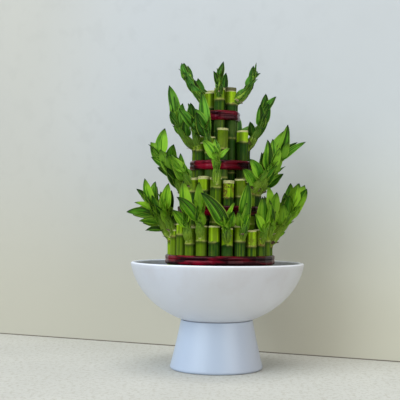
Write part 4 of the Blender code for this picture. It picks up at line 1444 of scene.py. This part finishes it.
def make_cane(blank, cane, rng, finishes):
    """One cane, a little uneven, with its node rings and a cut that isn't quite level."""
    stations = cane_stations(cane, rng)
    tone, ripe = CANE_TONES.get(
        (cane.tier.name, cane.place), (rng.uniform(0.1, 0.7), rng.uniform(0.2, 0.9))
    )
    dry = DRY_TOPS.get((cane.tier.name, cane.place), rng.uniform(0.5, 1.6))
    worn = SCARS.get((cane.tier.name, cane.place), 0)
    lean = Vector((rng.uniform(-0.05, 0.05), rng.uniform(-0.05, 0.05)))
    mark = rng.uniform(0, 50)
    aside = bearing(cane.direction + 90)

    def tucked(spot):
        """How much painted shade the rind takes there: the more it is turned to the next cane of its
        ring, the more.
        """
        return smooth(abs(aside.dot(Vector((spot.x, spot.y, 0)))), 0.76, 1.0)

    def scarred(spot):
        """How rough the rind is there. It is rough on the top node's ring and above it."""
        rise = (stations[round(spot.z)][0] - cane.node) / MM
        return worn * smooth(rise, -3, 0)

    def place(spot):
        height, radius, _ = stations[round(spot.z)]
        wander = noise.noise_vector(Vector((mark, height * 22, 3.0))) * CANE_WANDER
        out = Vector((spot.x, spot.y, 0))
        ripple = noise.noise(Vector((spot.x * 1.4 + mark, spot.y * 1.4, height * 60)))
        wart = noise.noise(Vector((spot.x * 2.6 + mark, spot.y * 2.6, height * 420)))
        out *= radius + CANE_RIPPLE * ripple + CANE_WART * scarred(spot) * max(0, wart)
        cut = smooth(height, cane.top - 2 * MM, cane.top - 0.5 * MM)
        rag = noise.noise(Vector((spot.x * 3 + mark, spot.y * 3, 9))) * CUT_RAG
        height += cut * (lean.dot(out.xy) + rag)
        return cane.centre + out + Vector((wander.x, wander.y, height))

    return shaped(
        blank, "cane", place, finishes, tone=tone,
        rise=lambda spot: (stations[round(spot.z)][0] - cane.node) / MM,
        to_cut=lambda spot: (cane.top - stations[round(spot.z)][0]) / MM,
        ring=lambda spot: stations[round(spot.z)][2],
        scarred=scarred, dry=dry, tucked=tucked, ripe=ripe,
    )


def mark_cut(blank):
    """The faces inside a cane's rim take the second finish."""
    rim = 1 + 3 * len(NODE_SHAPE) + 5
    for face in blank.data.polygons:
        if face.center.z > rim:
            face.material_index = 1


def stem_spot(shoot, t, turn, out):
    """The point beside a stem at t, so far from its middle and turned so far about it."""
    facing = shoot.stem.facing(t)
    side = shoot.stem.heading(t).cross(facing)
    return shoot.stem.point(t) + (facing * math.cos(turn) + side * math.sin(turn)) * out


def girth(shoot, t):
    """Radius of a grown shoot with its lowest sheaths, which cup it above its foot."""
    run = t * shoot.stem.length
    cup = math.exp(-(((run - CUP_RISE) / CUP_HALF) ** 2))
    return shoot.radius(min(1, max(0, t))) * 0.97 + shoot.cup * cup


def make_stem(blank, shoot, tone, rng, finishes):
    """The young stem inside the sheaths, ringed where its first leaves have dropped."""
    last = STEM_STATIONS - 3
    beyond = (0, 0.4, 0.8, 1.0)
    rings = [rng.uniform(3.4, 4.4) * MM * i / shoot.stem.length for i in (1, 2, 3)]

    def ring_at(t, ring):
        """How much of that ring there is at that share of the stem's length."""
        return math.exp(-(((t - ring) * shoot.stem.length / STEM_RING_HALF) ** 2))

    def along(spot):
        """Share of the stem's length at that point, which is over 1 on its rounded end."""
        station = round(spot.z)
        return min(1.0, station / last) + beyond[max(0, station - last)] * STEM_END / shoot.stem.length

    def place(spot):
        station, t = round(spot.z), along(spot)
        radius = girth(shoot, t)
        for ring in rings:
            radius += STEM_RING * ring_at(t, ring)
        radius *= (1.0, 0.8, 0.45, 0.0)[max(0, station - last)]
        return stem_spot(shoot, t, math.atan2(spot.y, spot.x), radius * Vector((spot.x, spot.y)).length)

    return shaped(
        blank, "stem", place, finishes, tone=tone, along=along,
        ring=lambda spot: max(ring_at(along(spot), ring) for ring in rings),
        collar=lambda spot: 1 - smooth(along(spot) * shoot.stem.length, 0.4 * MM, 1.6 * MM),
    )


def blade_half(leaf, t):
    """Half the width of a finished blade: broad before its middle, with a long point."""
    widest = 0.43
    if not 0 < t < 1:
        return 0
    shape = (t / widest) ** 0.62 * ((1 - t) / (1 - widest)) ** 0.86
    return leaf.half_width * LEAF_FULLER * shape


def make_leaf(blank, shoot, leaf, settings, tone, aged, rng, finishes):
    """A blade whose foot wraps the stem as a sheath and then opens out along the midrib."""
    stem, arc = shoot.stem, leaf.midrib
    roll = leaf.roll
    if abs(roll) > math.pi / 2:
        roll -= math.copysign(math.pi, roll)
    sheath = min(rng.uniform(5.5, 8.5) * MM, stem.length * leaf.root + 1 * MM)
    half_thick = settings.thickness / 2
    aside = arc.across
    first_fold, last_fold = BLADE_FOLD
    wave, phase = rng.uniform(0.15, 0.5) * MM, rng.uniform(0, math.tau)
    clasp = rng.uniform(2.3, 2.7)

    def split(spot):
        """Millimetres along the stem from the leaf's root, and the share along the blade."""
        v = (spot.y + 1) / 2
        if v < SHEATH_ROWS:
            return (v / SHEATH_ROWS - 1) * sheath, 0.0
        t = (v - SHEATH_ROWS) / (1 - SHEATH_ROWS)
        return t * arc.length, t

    def place(spot):
        run, t = split(spot)
        where = leaf.root + (run - LEAF_ROOT) / stem.length
        heading = stem.heading(where)
        outer = (aside - heading * aside.dot(heading)).normalized()
        side = outer.cross(heading)
        low = smooth(run, -sheath, -sheath * 0.7)
        radius = girth(shoot, where) + (0.12 + 0.22 * low) * MM
        radius += 0.35 * MM * smooth(run, -sheath * 0.5, sheath * 0.4)
        turn = spot.x * (clasp + (0.35 if run < 0 else 0.35 * (1 - smooth(t, 0, 0.15))))
        wrapped = stem.point(where) + (side * math.sin(turn) + outer * math.cos(turn)) * (
            radius - spot.z * half_thick
        )
        opened = smooth(t, 0.0, SHEATH_OPENS)
        if opened == 0:
            return wrapped
        facing = arc.facing(t)
        across = arc.heading(t).cross(facing)
        angle = roll * smooth(t, 0.0, 0.4) + leaf.twist * t
        facing, across = (
            facing * math.cos(angle) + across * math.sin(angle),
            across * math.cos(angle) - facing * math.sin(angle),
        )
        half = max(blade_half(leaf, t), 0.12 * MM * (1 - t) + 0.03 * MM)
        fold = math.radians(first_fold + (last_fold - first_fold) * smooth(t, 0.1, 0.8))
        rim = abs(spot.x)
        lift = half * math.sin(fold) * rim**1.35
        lift += wave * rim**2 * math.sin(t * 11 + phase + spot.x) * smooth(t, 0.3, 0.6)
        thick = half_thick * (1 - 0.55 * rim**3) * (1 - 0.5 * t)
        keel = 0.35 * MM * (1 - rim) * (1 - t)
        blade = arc.point(t) + across * (spot.x * half * math.cos(fold))
        blade += facing * (lift - keel + spot.z * thick)
        return wrapped.lerp(blade, opened)

    return shaped(
        blank, "leaf", place, finishes, tone=tone,
        along=lambda spot: split(spot)[1], across=lambda spot: spot.x,
        # Painted light: lit sets how much lighter one half of the blade is painted than the other; under
        # marks the underside, which is painted darker as shade.
        under=lambda spot: 1.0 if spot.z < 0 else 0.0, lit=rng.uniform(-1, 1), aged=aged,
        low=0.7 * (1 - smooth(leaf.root, 0.3, 1.0)) * (1 - 0.8 * aged),
    )


def make_husk(blank, shoot, turn, rng, finishes):
    """A small dry scale at the foot of a shoot, curling away from it."""
    start = rng.uniform(1.4, 2.8) * MM
    length = rng.uniform(3.0, 6.0) * MM
    flare = rng.uniform(0.25, 0.8)
    wrap = rng.uniform(0.5, 0.95)

    def place(spot):
        v = (spot.y + 1) / 2
        run = start + v * length
        t = run / shoot.stem.length
        radius = shoot.radius(min(1, t)) + (0.35 + 0.16 * spot.z) * MM + flare * v * v * length
        around = turn + spot.x * wrap * (1 - v) ** 0.65 + 0.02 * spot.x
        return stem_spot(shoot, t, -around, radius)

    return shaped(blank, "husk", place, finishes)


class BAMBOO_OT_canes(bpy.types.Operator):
    """Grow every cane with its shoot, leaves and dry scales, each in place of its solid"""

    bl_idname = "bamboo.canes"
    bl_label = "Canes and leaves"

    def execute(self, context):
        bark, foliage = context.scene.bamboo_canes, context.scene.bamboo_leaves
        rind, pith = cane_finish(bark), cut_finish(bark)
        stem_skin, leaf_skin = stem_finish(foliage), leaf_finish(foliage)
        husk_paper = husk_finish(foliage)
        stations = 1 + 3 * len(NODE_SHAPE) + len(CUT_SHAPE)
        blanks = cane_blank, stem_blank, blade_blank, small_blank = (
            tube_blank("cane blank", CANE_ROUND, stations),
            tube_blank("stem blank", STEM_ROUND, STEM_STATIONS),
            leaf_blank(*LEAF_FACES),
            leaf_blank(*SHEATH_FACES),
        )
        mark_cut(cane_blank)
        canes = plan()
        rng = random.Random(SEED + 1)
        noise.seed_set(SEED)  # without it, a noise vector is another one in each run
        for name, members in cane_nodes(canes):
            parts = []
            for cane in members:
                parts.append(make_cane(cane_blank, cane, rng, [rind, pith]))
                if not cane.shoot:
                    continue
                aged = TIER_AGE[cane.tier.name]
                age = rng.uniform(0.3, 0.8) - 0.15 * aged
                cane.shoot.cup = CUPS.get((cane.tier.name, cane.place), PLAIN_CUP)
                parts.append(make_stem(stem_blank, cane.shoot, age, rng, [stem_skin]))
                for leaf in cane.shoot.leaves:
                    leaf_tone = min(1, max(0, age + 0.1 - 0.1 * aged + rng.uniform(-0.45, 0.45)))
                    blank = small_blank if leaf.midrib.length < SHORT_BLADE else blade_blank
                    parts.append(make_leaf(
                        blank, cane.shoot, leaf, foliage, leaf_tone, aged, rng, [leaf_skin]
                    ))
                for _ in range(rng.randint(2, 4)):
                    turn = rng.uniform(0, math.tau)
                    parts.append(make_husk(small_blank, cane.shoot, turn, rng, [husk_paper]))
            piece = joined("grown_" + name, parts)
            stands_for(piece, "plant", name)
        for blank in blanks:
            bpy.data.objects.remove(blank)
        return {"FINISHED"}


def cane_nodes(canes):
    """The name of each solid with the one or two canes that it holds."""
    for tier in TIERS:
        for place in range(tier.places):
            if place in tier.empty or place - 1 in tier.twins:
                continue
            if place in tier.twins:
                pair = [canes[tier.name, place], canes[tier.name, place + 1]]
                yield f"canes_{tier.name}_{place + 1:02d}_{place + 2:02d}", pair
            else:
                yield f"cane_{tier.name}_{place + 1:02d}", [canes[tier.name, place]]


class BAMBOO_OT_stage(bpy.types.Operator):
    """Set the plain floor and wall, the soft lights and the camera"""

    bl_idname = "bamboo.stage"
    bl_label = "Stage"

    def execute(self, context):
        settings = context.scene.bamboo_stage
        self.floor_and_wall(settings)
        self.lights(context.scene, settings)
        self.camera(context.scene)
        return {"FINISHED"}

    @staticmethod
    def floor_and_wall(settings):
        bpy.ops.object.select_all(action="DESELECT")
        bpy.ops.mesh.primitive_grid_add(x_subdivisions=4, y_subdivisions=4, size=6)
        floor = named("floor")
        floor.data.transform(Matrix.Translation((0, 0, -0.0002)))
        floor.data.materials.append(floor_finish(tuple(settings.floor)))
        bpy.ops.object.select_all(action="DESELECT")
        bpy.ops.mesh.primitive_plane_add(size=2)
        wall = named("wall")
        width, height = 1.3, 0.9
        turn = Matrix.Rotation(math.radians(settings.wall_turn), 4, "Z")
        stand = Matrix.Rotation(math.radians(90), 4, "X")
        flat = Matrix.Diagonal((width / 2, height / 2, 1, 1))
        away = Matrix.Translation((0, settings.wall_away, height / 2))
        wall.data.transform(turn @ away @ stand @ flat)
        wall.data.materials.append(wall_finish(tuple(settings.wall)))

    @staticmethod
    def lights(scene, settings):
        world = bpy.data.worlds.new("soft room")
        world.use_nodes = True
        sky = world.node_tree.nodes["Background"]
        sky.inputs["Color"].default_value = (*settings.room_light, 1)
        sky.inputs["Strength"].default_value = settings.room_strength
        scene.world = world
        scene.view_settings.view_transform = "Standard"
        for name, place, size, power, colour in (
            ("key", (-2.1, -1.9, 1.9), 2.6, settings.key_power, (0.86, 0.945, 1.0)),
            ("fill", (1.3, -1.6, 0.5), 1.4, settings.key_power * 0.2, (1.0, 0.98, 0.93)),
            ("top", (0.0, -0.25, 1.5), 0.8, settings.key_power * 0.1, (1.0, 1.0, 0.98)),
        ):
            light = bpy.data.lights.new(name, "AREA")
            light.size, light.energy, light.color = size, power, colour
            holder = bpy.data.objects.new(name, light)
            holder.location = place
            aim = Vector((0, 0, 0.15)) - Vector(place)
            holder.rotation_euler = aim.to_track_quat("-Z", "Y").to_euler()
            scene.collection.objects.link(holder)

    @staticmethod
    def camera(scene):
        lens = bpy.data.cameras.new("camera")
        lens.lens, lens.sensor_width = 81, 36
        lens.shift_x, lens.shift_y = -0.04475, 0.06
        eye = bpy.data.objects.new("camera", lens)
        eye.location = (0, -0.945, 0.151)
        level = Matrix.Rotation(math.radians(90), 3, "X")
        eye.rotation_euler = (level @ Matrix.Rotation(math.radians(0.66), 3, "Z")).to_euler()
        scene.collection.objects.link(eye)
        scene.camera = eye


def colour_setting(name, description, default):
    return bpy.props.FloatVectorProperty(
        name=name, description=description, subtype="COLOR", size=3, min=0, max=1, default=default
    )


class PotSettings(bpy.types.PropertyGroup):
    glaze: colour_setting("Glaze", "Colour of the bowl's glaze", (0.56, 0.578, 0.618))
    # The foot's glaze is darker and bluer than the bowl's: painted shade under the bowl.
    foot_glaze_and_shade: colour_setting("Foot glaze", "Colour of the foot's cooler glaze", (0.355, 0.42, 0.525))
    roughness: bpy.props.FloatProperty(
        name="Roughness", description="How matt the glaze is", subtype="FACTOR", min=0, max=1,
        default=0.42,
    )


class PebbleSettings(bpy.types.PropertyGroup):
    size: bpy.props.FloatProperty(
        name="Size", description="Usual width of a pebble", unit="LENGTH", default=PEBBLE_SIZE
    )
    dark: colour_setting("Dark stone", "Colour of the darkest pebbles", (0.018, 0.021, 0.018))
    pale: colour_setting("Pale stone", "Colour of the palest pebbles", (0.13, 0.14, 0.12))


class TieSettings(bpy.types.PropertyGroup):
    red: colour_setting("Red", "Colour of the ties in the light", (0.145, 0.0005, 0.010))
    # The dark red is painted shade in the folds.
    dark: colour_setting("Dark red", "Colour of the ties in their folds", (0.009, 0.0002, 0.002))


class CaneSettings(bpy.types.PropertyGroup):
    old_rind: colour_setting("Old rind", "Deep green below the top node", (0.014, 0.056, 0.004))
    olive_rind: colour_setting("Olive rind", "Paler stripes of the old rind", (0.10, 0.185, 0.002))
    young_rind: colour_setting("Young rind", "Yellow-green above the top node", (0.19, 0.33, 0.003))
    node_ring: colour_setting("Node ring", "Colour of the rings at the nodes", (0.36, 0.37, 0.10))
    dry_rim: colour_setting("Dry rim", "Colour of the dried cut", (0.44, 0.44, 0.20))
    scar: colour_setting("Scar", "Colour of scars and specks", (0.10, 0.055, 0.010))


class LeafSettings(bpy.types.PropertyGroup):
    thickness: bpy.props.FloatProperty(
        name="Thickness", description="Thickness of a blade", unit="LENGTH", default=0.45 * MM
    )
    deep: colour_setting("Deep green", "Darkest green of a leaf", (0.003, 0.029, 0.001))
    middle: colour_setting("Middle green", "Usual green of a leaf", (0.040, 0.185, 0.002))
    fresh: colour_setting("Fresh green", "Lightest green of a leaf", (0.27, 0.54, 0.025))
    root: colour_setting("Root", "Colour of the leaf's foot and edges", (0.30, 0.46, 0.04))
    tip: colour_setting("Tip", "Colour of the leaf's dark point", (0.010, 0.026, 0.007))
    husk_dark: colour_setting("Dark husk", "Colour of a dry scale", (0.085, 0.045, 0.02))
    husk_pale: colour_setting("Pale husk", "Paler colour of a dry scale", (0.50, 0.42, 0.25))


class StageSettings(bpy.types.PropertyGroup):
    floor: colour_setting("Floor", "Colour of the floor", (0.61, 0.605, 0.56))
    wall: colour_setting("Wall", "Colour of the wall", (0.535, 0.56, 0.58))
    wall_turn: bpy.props.FloatProperty(
        name="Wall turn", description="Turn of the wall about Z, in degrees", default=-23.3
    )
    wall_away: bpy.props.FloatProperty(
        name="Wall distance", description="From the pot's axis to the wall", unit="LENGTH",
        default=0.1296,
    )
    room_light: colour_setting("Room light", "Colour of the light all round", (0.97, 0.98, 1.0))
    room_strength: bpy.props.FloatProperty(
        name="Room strength", description="Strength of the light all round", default=0.5
    )
    key_power: bpy.props.FloatProperty(
        name="Key power", description="Power of the main light", unit="POWER", default=70
    )


class BAMBOO_PT_panel(bpy.types.Panel):
    """The pieces of the plant and its pot, in the order they are made"""

    bl_idname = "BAMBOO_PT_panel"
    bl_label = "Lucky bamboo"
    bl_space_type = "VIEW_3D"
    bl_region_type = "UI"
    bl_category = "Bamboo"

    def draw(self, context):
        for operator, fields in SECTIONS:
            box = self.layout.box()
            box.operator(operator)
            for settings, names in fields.items():
                for name in names:
                    box.prop(getattr(context.scene, settings), name)


SECTIONS = (
    ("bamboo.bowl", {"bamboo_pot": ("glaze", "roughness")}),
    ("bamboo.foot", {"bamboo_pot": ("foot_glaze_and_shade",)}),
    ("bamboo.pebbles", {"bamboo_pebbles": ("size", "dark", "pale")}),
    ("bamboo.ties", {"bamboo_ties": ("red", "dark")}),
    ("bamboo.canes", {
        "bamboo_canes": ("old_rind", "olive_rind", "young_rind", "node_ring", "dry_rim", "scar"),
        "bamboo_leaves": (
            "thickness", "deep", "middle", "fresh", "root", "tip", "husk_dark", "husk_pale",
        ),
    }),
    ("bamboo.stage", {
        "bamboo_stage": (
            "floor", "wall", "wall_turn", "wall_away", "room_light", "room_strength", "key_power",
        ),
    }),
)
GROUPS = {
    "bamboo_pot": PotSettings,
    "bamboo_pebbles": PebbleSettings,
    "bamboo_ties": TieSettings,
    "bamboo_canes": CaneSettings,
    "bamboo_leaves": LeafSettings,
    "bamboo_stage": StageSettings,
}
CLASSES = (
    *GROUPS.values(), BAMBOO_OT_bowl, BAMBOO_OT_foot, BAMBOO_OT_pebbles, BAMBOO_OT_ties,
    BAMBOO_OT_canes, BAMBOO_OT_stage, BAMBOO_PT_panel,
)


def register():
    for made in CLASSES:
        bpy.utils.register_class(made)
    for name, group in GROUPS.items():
        setattr(bpy.types.Scene, name, bpy.props.PointerProperty(type=group))


def unregister():
    for name in GROUPS:
        delattr(bpy.types.Scene, name)
    for made in reversed(CLASSES):
        bpy.utils.unregister_class(made)


def main():
    register()
    bpy.ops.bamboo.bowl()
    bpy.ops.bamboo.foot()
    bpy.ops.bamboo.pebbles()
    bpy.ops.bamboo.ties()
    bpy.ops.bamboo.canes()
    bpy.ops.bamboo.stage()
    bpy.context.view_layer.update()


if __name__ == "__main__":
    main()
